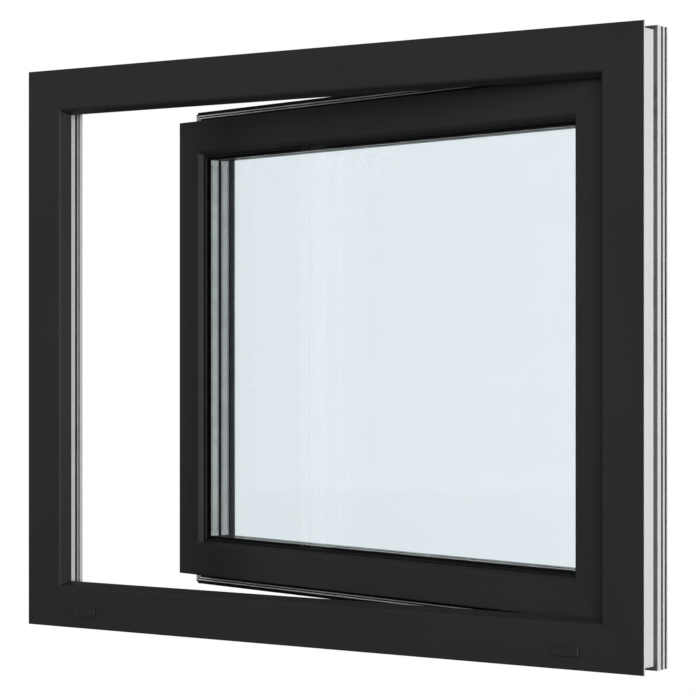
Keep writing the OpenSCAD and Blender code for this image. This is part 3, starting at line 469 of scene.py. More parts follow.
def moulded_finish(name, colour, roughness, grain_size=0.0006, depth=0.00003, shine=0.4, plan=None):
    """Moulded plastic, rubber or coat with a fine eroded skin.

    A plan of width, height and base level blackens the level runs of that rectangle on the sash, as painted
    shade.
    """
    material, tree, shader, place = new_finish(name, Specular_IOR_Level=shine)
    skin = use_group(tree, "Moulded skin", Vector=place, Grain_Size=grain_size)
    marks = use_group(tree, "Handling marks", Vector=place, Scale=30.0)
    body = toned(tree, colour, skin["Tone"])
    body = blend_colour(tree, times(tree, marks["Dust"], 0.1), body, SKIN_DUST)
    if plan:
        width, height, base = plan
        upright = mitred(tree, shut_place(tree, place, base), width, height)["Upright"]
        # Painted shade: the level runs of the spacer are made near-black
        body = blend_colour(tree, upright, LEVEL_RUN_SHADE, body)
    tree.links.new(body, shader["Base Color"])
    tree.links.new(plus(tree, roughness, times(tree, marks["Patches"], 0.08)), shader["Roughness"])
    bump(tree, skin["Height"], depth, shader)
    return material


def zinc_finish(name, colour, crystal, sheen=1.0):
    """Zinc coat on steel or a zinc casting."""
    material, tree, shader, place = new_finish(name, Metallic=1.0)
    skin = use_group(tree, "Zinc skin", Vector=place, Crystal_Size=crystal)
    marks = use_group(tree, "Handling marks", Vector=place, Scale=40.0)
    tone = times(tree, skin["Tone"], remap(tree, marks["Patches"], 0.0, 1.0, 1.0, 0.86))
    tree.links.new(toned(tree, colour, tone), shader["Base Color"])
    rough = plus(tree, times(tree, skin["Roughness"], sheen), times(tree, marks["Patches"], 0.1))
    tree.links.new(rough, shader["Roughness"])
    bump(tree, skin["Height"], 0.00001, shader)
    return material


def overlap_gasket_finish(settings):
    """Black rubber with painted highlights: two pale lines on its ridges that run round the sash."""
    material, tree, shader, place = new_finish("overlap_gasket_rubber", Specular_IOR_Level=0.3, Roughness=0.5)
    width, height, base = SASH_PLAN
    bar = mitred(tree, shut_place(tree, place, base), width, height)
    skin = use_group(tree, "Moulded skin", Vector=place, Grain_Size=0.0008)
    black = toned(tree, RUBBER_BLACK, skin["Tone"])
    pale = toned(tree, settings.ridge_highlight_colour, skin["Tone"])
    # Painted highlights: the gasket's two ridges are made pale
    tree.links.new(blend_colour(tree, sheltered(tree, bar, GASKET_RIDGE_HIGHLIGHTS), black, pale), shader["Base Color"])
    bump(tree, skin["Height"], 0.00003, shader)
    return material


def cover(material, *names):
    """Gives the material to whole CAD nodes."""
    for name in names:
        data = NODES[name].data
        data.materials.clear()
        data.materials.append(material)


# ---------- mesh helpers ----------

def new_piece(name, mesh, material, body, slot, *nodes):
    """Links a finished mesh as a piece of the object that stands for the named CAD nodes."""
    piece = bpy.data.objects.new(name, mesh)
    bpy.context.scene.collection.objects.link(piece)
    mesh.materials.clear()
    mesh.materials.append(material)
    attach(piece, body)
    if nodes:
        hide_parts(*nodes)
    return piece


def plain_mesh(shape, name):
    """The mesh of a worked-on shape, which is freed."""
    mesh = bpy.data.meshes.new(name)
    shape.to_mesh(mesh)
    shape.free()
    return mesh


def evaluated_mesh(helper):
    """The plain mesh of an object after its modifiers; the helper object goes."""
    graph = bpy.context.evaluated_depsgraph_get()
    mesh = bpy.data.meshes.new_from_object(helper.evaluated_get(graph), depsgraph=graph)
    bpy.data.objects.remove(helper)
    return mesh


def merged_copy(node):
    """A CAD node's shape with its loose triangles joined and flat faces made whole."""
    shape = bmesh.new()
    shape.from_mesh(NODES[node].data)
    bmesh.ops.remove_doubles(shape, verts=shape.verts, dist=1e-6)
    bmesh.ops.dissolve_limit(shape, angle_limit=math.radians(0.5), verts=shape.verts, edges=shape.edges)
    return plain_mesh(shape, node)


def helper_object(mesh):
    helper = bpy.data.objects.new(mesh.name + "_work", mesh)
    bpy.context.scene.collection.objects.link(helper)
    return helper


def shade(mesh, angle=35.0):
    """Smooth faces with sharp edges where the surface really turns."""
    mesh.polygons.foreach_set("use_smooth", [True] * len(mesh.polygons))
    mesh.set_sharp_from_angle(angle=math.radians(angle))
    mesh.validate()
    mesh.update()


def softened(node, radius, segments=3):
    """A CAD node's shape with its arrises rounded, as a casting or moulding has them."""
    helper = helper_object(merged_copy(node))
    rounder = helper.modifiers.new("Arris", "BEVEL")
    rounder.width = radius
    rounder.segments = segments
    rounder.limit_method = "ANGLE"
    rounder.angle_limit = math.radians(40.0)
    rounder.harden_normals = False
    rounder.miter_outer = "MITER_ARC"
    mesh = evaluated_mesh(helper)
    shade(mesh, 45.0)
    return mesh


def rounded_outline(width, height, radius, steps=8, side_steps=6):
    """Points round a rectangle with round corners, anticlockwise."""
    points = []
    for turn, (sx, sz) in enumerate(((1, 1), (-1, 1), (-1, -1), (1, -1))):
        centre = Vector((sx * (width / 2 - radius), sz * (height / 2 - radius)))
        for i in range(steps + 1):
            angle = math.radians(90.0 * (turn + i / steps))
            points.append(centre + radius * Vector((math.cos(angle), math.sin(angle))))
    corners, filled = len(points), []
    for i, point in enumerate(points):
        filled.append(point)
        following = points[(i + 1) % corners]
        if i % (steps + 1) == steps:
            filled += [point.lerp(following, k / side_steps) for k in range(1, side_steps)]
    return filled


def inset_outline(width, height, radius, by):
    return rounded_outline(width - 2 * by, height - 2 * by, max(radius - by, 0.3 * MM))


def loft(name, rings, place, looped=False):
    """A closed skin through rings of (outline points, level), capped unless the rings run in a loop."""
    shape = bmesh.new()
    rows = [[shape.verts.new(place(point, level)) for point in outline] for outline, level in rings]
    pairs = list(zip(rows, rows[1:]))
    if looped:
        pairs.append((rows[-1], rows[0]))
    for low, high in pairs:
        for i in range(len(low)):
            following = (i + 1) % len(low)
            shape.faces.new((low[i], low[following], high[following], high[i]))
    if not looped:
        shape.faces.new(list(reversed(rows[0])))
        shape.faces.new(rows[-1])
    bmesh.ops.recalc_face_normals(shape, faces=shape.faces)
    mesh = plain_mesh(shape, name)
    shade(mesh)
    return mesh


def arris(width, height, radius, by, low, high, steps=5):
    """Rings of a rounded arris that runs in by a distance from level low up to level high."""
    rings = []
    for i in range(steps + 1):
        angle = math.pi / 2 * i / steps
        rings.append((inset_outline(width, height, radius, by * (1 - math.cos(angle))),
                      low + (high - low) * math.sin(angle)))
    return rings


# ---------- geometry node helpers ----------

def geometry_tree(name, *inputs):
    """A geometry tree with named inputs after its geometry, and one geometry output."""
    first = ("Geometry", "NodeSocketGeometry")
    return socketed_tree(name, "GeometryNodeTree", [(*first, None), *inputs], [first])


def field(tree, name):
    named = made(tree, "GeometryNodeInputNamedAttribute", {"Name": name}, data_type="FLOAT_VECTOR")
    return named.outputs["Attribute"]


def aligned(tree, axis, vector, rotation=None, pivot="AUTO"):
    node = made(tree, "FunctionNodeAlignRotationToVector", {"Vector": vector}, axis=axis, pivot_axis=pivot)
    if rotation is not None:
        tree.links.new(rotation, node.inputs["Rotation"])
    return node.outputs[0]


def set_on_points(tree, source, sink, points, pattern, rotation):
    """Ends a tree: instances of the pattern object on the points, made real and given the tree's material."""
    info = made(tree, "GeometryNodeObjectInfo", {"Object": source[pattern]}).outputs["Geometry"]
    places = {"Points": points, "Instance": info, "Rotation": rotation}
    put = made(tree, "GeometryNodeInstanceOnPoints", places)
    realized = made(tree, "GeometryNodeRealizeInstances", {0: put.outputs[0]}).outputs[0]
    painted = made(tree, "GeometryNodeSetMaterial", {"Geometry": realized, "Material": source["Material"]})
    tree.links.new(painted.outputs[0], sink["Geometry"])


def build_screw_tree():
    """Sets a screw on each seat point, head along the seat's direction, each driven to its own turn."""
    tree, source, sink = geometry_tree(
        "Screws on seats", ("Screw", "NodeSocketObject", None), ("Material", "NodeSocketMaterial", None),
        ("Seed", "NodeSocketInt", 1))
    half_turn = {2: 0.0, 3: math.pi, "Seed": source["Seed"]}
    angle = made(tree, "FunctionNodeRandomValue", half_turn, data_type="FLOAT")
    about_axis = {"Axis": (0.0, 0.0, 1.0), "Angle": angle.outputs[1]}
    turned = made(tree, "FunctionNodeAxisAngleToRotation", about_axis).outputs[0]
    facing = aligned(tree, "Z", field(tree, "direction"))
    driven = made(tree, "FunctionNodeRotateRotation", {"Rotation": facing, "Rotate By": turned},
                  rotation_space="LOCAL").outputs[0]
    set_on_points(tree, source, sink, source["Geometry"], "Screw", driven)
    return tree


def build_perforation_tree():
    """Repeats a small slot along straight runs, at an even pitch, facing the way each run's points say."""
    tree, source, sink = geometry_tree(
        "Slots along runs", ("Slot", "NodeSocketObject", None), ("Pitch", "NodeSocketFloat", 0.004),
        ("Material", "NodeSocketMaterial", None))
    runs = made(tree, "GeometryNodeMeshToCurve", {0: source["Geometry"]}).outputs[0]
    even = {"Curve": runs, "Length": source["Pitch"]}
    spaced = made(tree, "GeometryNodeResampleCurve", even, mode="LENGTH")
    tangent = tree.nodes.new("GeometryNodeInputTangent").outputs[0]
    facing = aligned(tree, "Z", field(tree, "direction"))
    set_on_points(tree, source, sink, spaced.outputs[0], "Slot", aligned(tree, "X", tangent, facing, "Z"))
    return tree


def run_tree(tree, mesh, values):
    """The plain mesh that a tree makes from a base mesh with its inputs set by name."""
    helper = helper_object(mesh)
    modifier = helper.modifiers.new(tree.name, "NODES")
    modifier.node_group = tree
    for item in tree.interface.items_tree:
        if item.item_type == "SOCKET" and item.in_out == "INPUT" and item.name in values:
            modifier[item.identifier] = values[item.name]
    return evaluated_mesh(helper)


def seat_mesh(name, seats, runs=()):
    """Points, and edges between them, with a direction at each point."""
    mesh = bpy.data.meshes.new(name)
    mesh.from_pydata([tuple(place) for place, _ in seats], list(runs), [])
    facing = mesh.attributes.new("direction", "FLOAT_VECTOR", "POINT")
    facing.data.foreach_set("vector", [x for _, direction in seats for x in direction])
    return mesh


# ---------- screws ----------

def turned_shape(profile, steps=28):
    """A lathe-turned solid about Z from (radius, level) pairs that start and end on the axis."""
    shape = bmesh.new()
    rows = []
    for radius, level in profile:
        if radius < 1e-7:
            rows.append([shape.verts.new((0.0, 0.0, level))])
        else:
            rows.append([shape.verts.new((radius * math.cos(2 * math.pi * i / steps),
                                          radius * math.sin(2 * math.pi * i / steps), level))
                         for i in range(steps)])
    for low, high in zip(rows, rows[1:]):
        for i in range(steps):
            k = (i + 1) % steps
            corners = [low[i % len(low)], low[k % len(low)], high[k % len(high)], high[i % len(high)]]
            shape.faces.new([v for n, v in enumerate(corners) if v not in corners[:n]])
    bmesh.ops.recalc_face_normals(shape, faces=shape.faces)
    return shape


def cross_cutter(reach, width, depth):
    """The tapered cross of a screwdriver bit, from above the head down to its depth."""
    half, tip = width / 2, 0.55
    plan = [(half, -half), (reach, -half), (reach, half), (half, half), (half, reach), (-half, reach),
            (-half, half), (-reach, half), (-reach, -half), (-half, -half), (-half, -reach), (half, -reach)]
    shape = bmesh.new()
    top = [shape.verts.new((x * 1.1, y * 1.1, 0.4 * MM)) for x, y in plan]
    low = [shape.verts.new((x * tip, y * tip, -depth)) for x, y in plan]
    for i in range(len(plan)):
        k = (i + 1) % len(plan)
        shape.faces.new((low[i], low[k], top[k], top[i]))
    shape.faces.new(top)
    shape.faces.new(list(reversed(low)))
    bmesh.ops.recalc_face_normals(shape, faces=shape.faces)
    return shape


def screw_shape(name, head_radius, head_height, shank_radius, length, countersunk):
    """A cross-headed screw with the top of its head at zero and its shank down Z."""
    r, k = head_radius, head_height
    if countersunk:
        head = [(0.0, 0.0), (r * 0.8, 0.0), (r * 0.97, -0.06 * MM), (r, -0.25 * MM), (shank_radius, -k)]
    else:
        head = [(0.0, 0.0), (r * 0.55, -0.02 * k), (r * 0.82, -0.14 * k), (r * 0.96, -0.4 * k),
                (r, -0.75 * k), (r * 0.99, -k), (shank_radius, -k)]
    thread = []
    turns = int((length - k - 2 * shank_radius) / (0.9 * MM))
    for i in range(max(turns, 0)):
        level = -k - 0.3 * MM - i * 0.9 * MM
        thread += [(shank_radius * 0.8, level - 0.3 * MM), (shank_radius, level - 0.5 * MM),
                   (shank_radius * 0.8, level - 0.7 * MM)]
    tail = [(shank_radius * 0.8, -length + shank_radius), (0.0, -length)]
    helper = helper_object(plain_mesh(turned_shape(head + thread + tail), name))
    cross = cross_cutter(r * 0.5, r * 0.2, min(k * 0.75, r * 0.6))
    tool = helper_object(plain_mesh(cross, name + "_cross"))
    cut = helper.modifiers.new("Cross", "BOOLEAN")
    cut.operation = "DIFFERENCE"
    cut.solver = "EXACT"
    cut.object = tool
    done = evaluated_mesh(helper)
    bpy.data.objects.remove(tool)
    shade(done, 30.0)
    return done


def islands(node):
    """The separate solids of a CAD node, as lists of points."""
    shape = bmesh.new()
    shape.from_mesh(NODES[node].data)
    bmesh.ops.remove_doubles(shape, verts=shape.verts, dist=1e-6)
    left, found = set(shape.verts), []
    while left:
        group, edge = set(), [left.pop()]
        while edge:
            vert = edge.pop()
            group.add(vert)
            for link in vert.link_edges:
                other = link.other_vert(vert)
                if other in left:
                    left.discard(other)
                    edge.append(other)
        found.append([v.co.copy() for v in group])
    shape.free()
    return found


def seats_of(node, direction):
    """The middle of each screw head's top, with its direction; direction may depend on the screw's place."""
    seats = []
    for points in islands(node):
        middle = sum(points, Vector()) / len(points)
        out = Vector(direction(middle) if callable(direction) else direction).normalized()
        top = max(p.dot(out) for p in points)
        centre = Vector((min(p[i] for p in points) + max(p[i] for p in points)) / 2 for i in range(3))
        seats.append((centre + out * (top - centre.dot(out)), out))
    return sorted(seats, key=lambda seat: tuple(round(x, 5) for x in seat[0]))


# ---------- settings ----------

def colour_setting(name, description, default):
    return FloatVectorProperty(name=name, description=description, size=3, subtype="COLOR", min=0.0, max=1.0,
                               default=default)


def number_setting(name, description, default, low=0.0, high=1.0):
    return FloatProperty(name=name, description=description, default=default, min=low, max=high)


def length_setting(name, description, default, low, high):
    """A length given in millimetres."""
    return FloatProperty(name=name, description=description, default=default * MM, min=low * MM,
                         max=high * MM, unit="LENGTH")


def power_setting(name, description, default):
    return FloatProperty(name=name, description=description, default=default, min=0.0, unit="POWER")


class TurnWindowFinishSettings(bpy.types.PropertyGroup):
    foil_colour: colour_setting("Foil colour", "Colour of the dark foil", (0.0295, 0.0298, 0.03))
    sash_tone: number_setting("Sash tone", "Lightness of the sash's foil against the frame's", 1.2, 0.5, 2.0)
    foil_roughness: number_setting("Foil roughness", "How matt the foil is", 0.46, 0.1)
    foil_shine: number_setting("Foil shine", "Strength of the foil's mirror reflection", 0.22)
    grain_size: length_setting("Grain size", "Width of one pore of the foil's grain", 0.9, 0.2, 4.0)
    grain_depth: length_setting("Grain depth", "Depth of the foil's grain", 0.05, 0.0, 0.3)
    seam_width: length_setting("Seam width", "Half width of the groove at a welded mitre", 0.35, 0.1, 1.0)
    # Painted shade: grey that darkens the white plastic in the frame bars' narrow grooves
    groove_shade_colour: colour_setting("Sheltered colour", "Bare plastic in narrow grooves", (0.06, 0.06, 0.06))
    core_colour: colour_setting("Core colour", "Colour of the bare plastic bar", (0.87, 0.875, 0.87))
    # Painted highlights: pale colour for the overlap gasket's two ridges
    ridge_highlight_colour: colour_setting("Gasket lines", "Pale lines of the overlap gasket", (0.85, 0.85, 0.85))
    glass_tint: colour_setting("Glass tint", "What one face of a pane lets through", (0.979, 0.994, 1.0))
    glass_index: number_setting("Glass index", "Refractive index of the coated glass", 1.34, 1.0, 2.0)
    outer_spacer_colour: colour_setting("Outer spacer", "Colour of the outer spacer bar", (0.86, 0.92, 0.87))
    inner_spacer_colour: colour_setting("Inner spacer", "Colour of the inner spacer bar", (0.93, 0.92, 0.90))
    zinc_colour: colour_setting("Zinc colour", "Colour of plated steel", (0.62, 0.63, 0.64))


class TurnWindowFittingSettings(bpy.types.PropertyGroup):
    slot_pitch: length_setting("Slot pitch", "Distance from slot to slot on a spacer", 2.4, 1.5, 12.0)
    slot_length: length_setting("Slot length", "Length of one slot", 1.3, 0.5, 4.0)
    slot_width: length_setting("Slot width", "Width of one slot", 1.8, 0.3, 3.0)
    row_offset: length_setting("Row offset", "Distance of each row from the spacer's middle", 5.3, 0.0, 6.0)
    hinge_arris: length_setting("Hinge arris", "Radius of the hinges' edges", 0.7, 0.1, 1.5)
    rose_arris: length_setting("Rose arris", "Radius of the rose's front edge", 2.6, 0.5, 4.0)
    lever_voxel: length_setting("Lever fineness", "Size of the lever's surface cells", 0.7, 0.4, 2.0)
    lever_smoothing: IntProperty(name="Lever smoothing", default=14, min=0, max=40,
                                 description="How far the lever's edges are run together")
    cap_arris: length_setting("Cap arris", "Radius of the drain caps' edges", 0.9, 0.2, 1.5)


class TurnWindowStudioSettings(bpy.types.PropertyGroup):
    view_angle: FloatProperty(name="View angle", subtype="ANGLE", unit="ROTATION", default=math.radians(34.57),
                              description="Turn of the camera from square to the window")
    camera_place: FloatVectorProperty(name="Camera place", description="Where the camera stands", size=3,
                                      subtype="XYZ", unit="LENGTH", default=(1.99325, -2.79743, 0.420))
    lens: number_setting("Lens", "Focal length in millimetres", 126.8, 20.0, 300.0)
    backdrop: number_setting("Backdrop", "Brightness of the empty studio behind the window", 1.0, 0.0, 4.0)
    fill: number_setting("Fill", "Brightness of the soft light from all round", 0.11, 0.0, 4.0)
    mirrored: number_setting("Mirrored", "Brightness of the studio as clear mirrors see it", 0.02, 0.0, 4.0)
    side_power: power_setting("Side light", "Power of the soft box at the hinge side", 72.0)
    key_power: power_setting("Key light", "Power of the soft box in front, at the hinge side", 194.0)
    front_power: power_setting("Front light", "Power of the soft box in front, at the lock side", 68.0)
    top_power: power_setting("Top light", "Power of the soft box overhead", 2.0)
    room_power: power_setting("Room light", "Power of the soft box on the room side", 34.0)
    floor_colour: colour_setting("Floor colour", "Colour of the floor", (0.1, 0.1, 0.1))


class TurnWindowSettings(bpy.types.PropertyGroup):
    finish: PointerProperty(type=TurnWindowFinishSettings, name="Finishes",
                            description="Colours and textures")
    fitting: PointerProperty(type=TurnWindowFittingSettings, name="Fittings",
                             description="Sizes of small pieces")
    studio: PointerProperty(type=TurnWindowStudioSettings, name="Studio",
                            description="Camera and lights")


# ---------- operators ----------

class TURNWINDOW_OT_profiles(bpy.types.Operator):
    """Foil, white core and weld seams on the frame bars, sash bars and glazing beads"""
    bl_idname = "turnwindow.profiles"
    bl_label = "Finish the bars"

    def execute(self, context):
        settings = context.scene.turn_window.finish
        build_groups()
        cover(frame_bar_finish(settings), "frame_head", "frame_sill", "frame_lock_jamb", "frame_hinge_jamb")
        sash_foil = sash_bar_finish(settings, "foiled_sash_bar", *SASH_PLAN, bare=FLANGE_SHADE)
        cover(sash_foil, "sash_top_rail", "sash_bottom_rail", "sash_lock_stile", "sash_hinge_stile")
        low, high = closed_box("glazing_bead_lock_side")
        right = closed_box("glazing_bead_hinge_side")[1]
        bead_foil = sash_bar_finish(settings, "foiled_bead", right.x - low.x, high.z - low.z, low.z)
        cover(bead_foil, "glazing_bead_top", "glazing_bead_bottom", "glazing_bead_lock_side",
              "glazing_bead_hinge_side")
        return {"FINISHED"}


class TURNWINDOW_OT_glazing(bpy.types.Operator):
    """Glass, spacer bars, sealants, gaskets and setting blocks"""
    bl_idname = "turnwindow.glazing"
    bl_label = "Finish the glazing"

    def execute(self, context):
        settings = context.scene.turn_window.finish
        glass = glass_finish("clear_pane", settings.glass_tint, settings.glass_index)
        cover(glass, "outer_pane", "middle_pane", "inner_pane")
        for node, colour in (("outer_spacer", settings.outer_spacer_colour),
                             ("inner_spacer", settings.inner_spacer_colour)):
            low, high = closed_box(node)
            plan = (high.x - low.x, high.z - low.z, low.z)
            cover(moulded_finish(node + "_bar", colour, 0.42, 0.0009, plan=plan), node)
        cover(moulded_finish("butyl_sealant", (0.006, 0.006, 0.006), 0.6, 0.003, 0.0002, 0.12),
              "outer_edge_seal", "inner_edge_seal")
        cover(moulded_finish("black_gasket_rubber", (0.012, 0.012, 0.012), 0.52, 0.0008, shine=0.3),
              "frame_gasket", "outer_glazing_gasket", "inner_glazing_gasket")
        cover(overlap_gasket_finish(settings), "overlap_gasket")
        cover(moulded_finish("block_plastic", (0.03, 0.12, 0.3), 0.45, 0.001), "setting_blocks")
        return {"FINISHED"}


class TURNWINDOW_OT_metal(bpy.types.Operator):
    """Galvanised cores, plated gear parts and the plastic bolt guides"""
    bl_idname = "turnwindow.metal"
    bl_label = "Finish the gear"

    def execute(self, context):
        settings = context.scene.turn_window.finish
        cores = (node for node in NODES if node.endswith("_steel"))
        cover(zinc_finish("galvanised_core", (0.5, 0.51, 0.52), 0.009), *cores)
        plated = zinc_finish("plated_steel", settings.zinc_colour, 0.0015, 0.85)
        cover(plated, "gear_faceplate", "upper_bolt_rod", "lower_bolt_rod", "hinge_pin_lower",
              "hinge_pin_upper", "bolt_keeper_top", "bolt_keeper_bottom", "handle_spindle", "handle_screws")
        cover(zinc_finish("cast_zinc", (0.42, 0.425, 0.43), 0.0008, 1.25), "gear_case", "drive_pinion",
              "handle_base")
        cover(moulded_finish("dark_moulding", (0.03, 0.031, 0.032), 0.45), "bolt_guide_top",
              "bolt_guide_bottom", "run_up_block")
        return {"FINISHED"}


class TURNWINDOW_OT_perforations(bpy.types.Operator):
    """The rows of breathing slots in the spacer bars"""
    bl_idname = "turnwindow.perforations"
    bl_label = "Perforate the spacers"

    def execute(self, context):
        settings = context.scene.turn_window.fitting
        length, width = settings.slot_length, settings.slot_width
        outline = rounded_outline(length, width, min(length, width) * 0.49, 2, 1)
        slot = loft("slot", [(outline, -0.05 * MM), (outline, 0.06 * MM)], lambda p, level: (p.x, p.y, level))
        slot.name = "slot"
        helper = helper_object(slot)
        helper.hide_render = True
        dark = moulded_finish("slot_shadow", (0.02, 0.021, 0.02), 0.7)
        tree = build_perforation_tree()
        for node in ("outer_spacer", "inner_spacer"):
            mesh = run_tree(tree, self.runs(node, settings.row_offset),
                            {"Slot": helper, "Pitch": settings.slot_pitch, "Material": dark})
            new_piece(node + "_slots", mesh, dark, "sash", "spacer")
        bpy.data.objects.remove(helper)
        return {"FINISHED"}

    def runs(self, node, offset):
        """Straight runs along the spacer's four inward faces, two rows to each face."""
        low, high = closed_box(node)
        bar, corner = 7.0 * MM, 9.0 * MM
        x = (low.x + bar, high.x - bar)
        z = (low.z + bar, high.z - bar)
        seats, edges = [], []
        for depth in ((low.y + high.y) / 2 - offset, (low.y + high.y) / 2 + offset):
            for a, b, out in (((x[0] + corner, z[0]), (x[1] - corner, z[0]), (0, 0, 1)),
                              ((x[0] + corner, z[1]), (x[1] - corner, z[1]), (0, 0, -1)),
                              ((x[0], z[0] + corner), (x[0], z[1] - corner), (1, 0, 0)),
                              ((x[1], z[0] + corner), (x[1], z[1] - corner), (-1, 0, 0))):
                edges.append((len(seats), len(seats) + 1))
                for px, pz in (a, b):
                    seats.append((OPENED @ Vector((px, depth, pz)), OPENED.to_3x3() @ Vector(out)))
        return seat_mesh(node + "_runs", seats, edges)


class TURNWINDOW_OT_screws(bpy.types.Operator):
    """Cross-headed screws in the keepers, hinges and gear faceplate"""
    bl_idname = "turnwindow.screws"
    bl_label = "Drive the screws"

    def execute(self, context):
        settings = context.scene.turn_window.finish
        plated = zinc_finish("screw_zinc", settings.zinc_colour, 0.0006, 0.8)
        tree = build_screw_tree()
        room_ward, lock_ward = (OPENED.to_3x3() @ Vector(way) for way in ((0, 1, 0), (-1, 0, 0)))
        sets = (
            ("keeper_screws", "frame", lambda p: (0, 0, 1 if p.z < FRAME_HEIGHT / 2 else -1),
             3.8 * MM, 1.4 * MM, 2.0 * MM, 18.4 * MM, False, 3),
            ("bracket_screws", "frame", (0, 1, 0), 4.0 * MM, 2.3 * MM, 2.0 * MM, 18.0 * MM, True, 5),
            ("leaf_screws", "sash", room_ward, 4.0 * MM, 2.3 * MM, 2.0 * MM, 16.0 * MM, True, 7),
            ("faceplate_screws", "sash", lock_ward, 3.6 * MM, 1.0 * MM, 1.9 * MM, 17.0 * MM, False, 9),
        )
        for node, body, direction, head, height, shank, length, countersunk, seed in sets:
            screw = helper_object(screw_shape(node + "_pattern", head, height, shank, length, countersunk))
            mesh = run_tree(tree, seat_mesh(node + "_seats", seats_of(node, direction)),
                            {"Screw": screw, "Material": plated, "Seed": seed})
            new_piece(node + "_cross_headed", mesh, plated, body, "zinc", node)
            bpy.data.objects.remove(screw)
        return {"FINISHED"}


class TURNWINDOW_OT_handle(bpy.types.Operator):
    """The cranked lever, run together from shank to grip, and the domed rose under it"""
    bl_idname = "turnwindow.handle"
    bl_label = "Make the handle"

    def execute(self, context):
        settings = context.scene.turn_window.fitting
        black = moulded_finish("satin_black_coat", (0.016, 0.0165, 0.017), 0.36, 0.0005, 0.000015, 0.5)
        new_piece("handle_lever_cast", self.lever(settings), black, "handle", "black_metal", "handle_lever")
        new_piece("handle_rose_domed", self.rose(settings), black, "sash", "black_metal", "handle_rose")
        return {"FINISHED"}

    def lever(self, settings):
        helper = helper_object(merged_copy("handle_lever"))
        skin = helper.modifiers.new("Skin", "REMESH")
        skin.mode = "VOXEL"
        skin.voxel_size = settings.lever_voxel
        smoother = helper.modifiers.new("Run together", "SMOOTH")
        smoother.factor = 0.5
        smoother.iterations = settings.lever_smoothing
        mesh = evaluated_mesh(helper)
        shade(mesh, 60.0)
        return mesh

    def rose(self, settings):
        low, high = closed_box("handle_rose")
        base_low, base_high = closed_box("handle_base")
        centre = CLOSED @ SPINDLE
        width, height = high.x - low.x, high.z - low.z
        pocket_w, pocket_h = base_high.x - base_low.x + 0.6 * MM, base_high.z - base_low.z + 0.6 * MM
        rise, pocket_rise = high.y - low.y, base_high.y - base_low.y + 0.3 * MM
        corner, pocket_corner, hole, chamfer = 7.0 * MM, 5.3 * MM, 8.3 * MM, 0.3 * MM
        edge_level, mouth = rise - 0.5 * MM, 8.9 * MM

        def circle(radius):
            return [point.normalized() * radius for point in rounded_outline(width, height, corner)]

        by = settings.rose_arris
        skirt = [(rounded_outline(width, height, corner), 0.0)]
        skirt += arris(width, height, corner, by, rise - by, edge_level, 7)
        outer = inset_outline(width, height, corner, by)
        crown = []
        for share in (0.35, 0.7):
            ring = [a.lerp(b, share) for a, b in zip(outer, circle(mouth))]
            crown.append((ring, edge_level + 0.45 * MM * math.sin(share * math.pi / 2)))
        crown += [(circle(mouth), rise), (circle(hole), rise - 0.4 * MM), (circle(hole), pocket_rise)]
        inside = [(inset_outline(pocket_w, pocket_h, pocket_corner, chamfer), pocket_rise),
                  (rounded_outline(pocket_w, pocket_h, pocket_corner), pocket_rise - chamfer),
                  (rounded_outline(pocket_w, pocket_h, pocket_corner), 0.0)]

        def place(point, level):
            return OPENED @ Vector((centre.x + point.x, low.y + level, centre.z + point.y))

        return loft("handle_rose_domed", skirt + crown + inside, place, looped=True)


class TURNWINDOW_OT_hinges(bpy.types.Operator):
    """Hinge brackets and leaves with rounded arrises"""
    bl_idname = "turnwindow.hinges"
    bl_label = "Make the hinges"

    def execute(self, context):
        settings = context.scene.turn_window.fitting
        black = moulded_finish("black_hinge_coat", (0.018, 0.0185, 0.019), 0.4, 0.0006, 0.00002, 0.45)
        for kind, body in (("hinge_bracket", "frame"), ("hinge_leaf", "sash")):
            for end in ("lower", "upper"):
                node = f"{kind}_{end}"
                mesh = softened(node, settings.hinge_arris)
                new_piece(node + "_cast", mesh, black, body, "black_metal", node)
        return {"FINISHED"}


class TURNWINDOW_OT_drain_caps(bpy.types.Operator):
    """Raised drain caps on the sill's outside face"""
    bl_idname = "turnwindow.drain_caps"
    bl_label = "Make the drain caps"

    def execute(self, context):
        settings = context.scene.turn_window
        dark = moulded_finish("cap_moulding", (0.03, 0.03, 0.03), 0.42, 0.0007, shine=0.3)
        for node in ("drain_cap_left", "drain_cap_right"):
            low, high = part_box(node)
            width, height, rise = high.x - low.x, high.z - low.z, -low.y
            middle = (low + high) / 2
            by, corner = settings.fitting.cap_arris, 3.0 * MM
            rings = [(inset_outline(width, height, corner, 0.25 * MM), 0.05 * MM),
                     (rounded_outline(width, height, corner), 0.3 * MM)]
            rings += arris(width, height, corner, by, rise - by, rise)
            rings += [(inset_outline(width, height, corner, by + 0.9 * MM), rise),
                      (inset_outline(width, height, corner, by + 1.2 * MM), rise - 0.35 * MM)]

            def place(point, level, middle=middle):
                return Vector((middle.x + point.x, -level, middle.z + point.y))

            new_piece(node + "_moulded", loft(node, rings, place), dark, "frame", "dark_plastic", node)
        return {"FINISHED"}


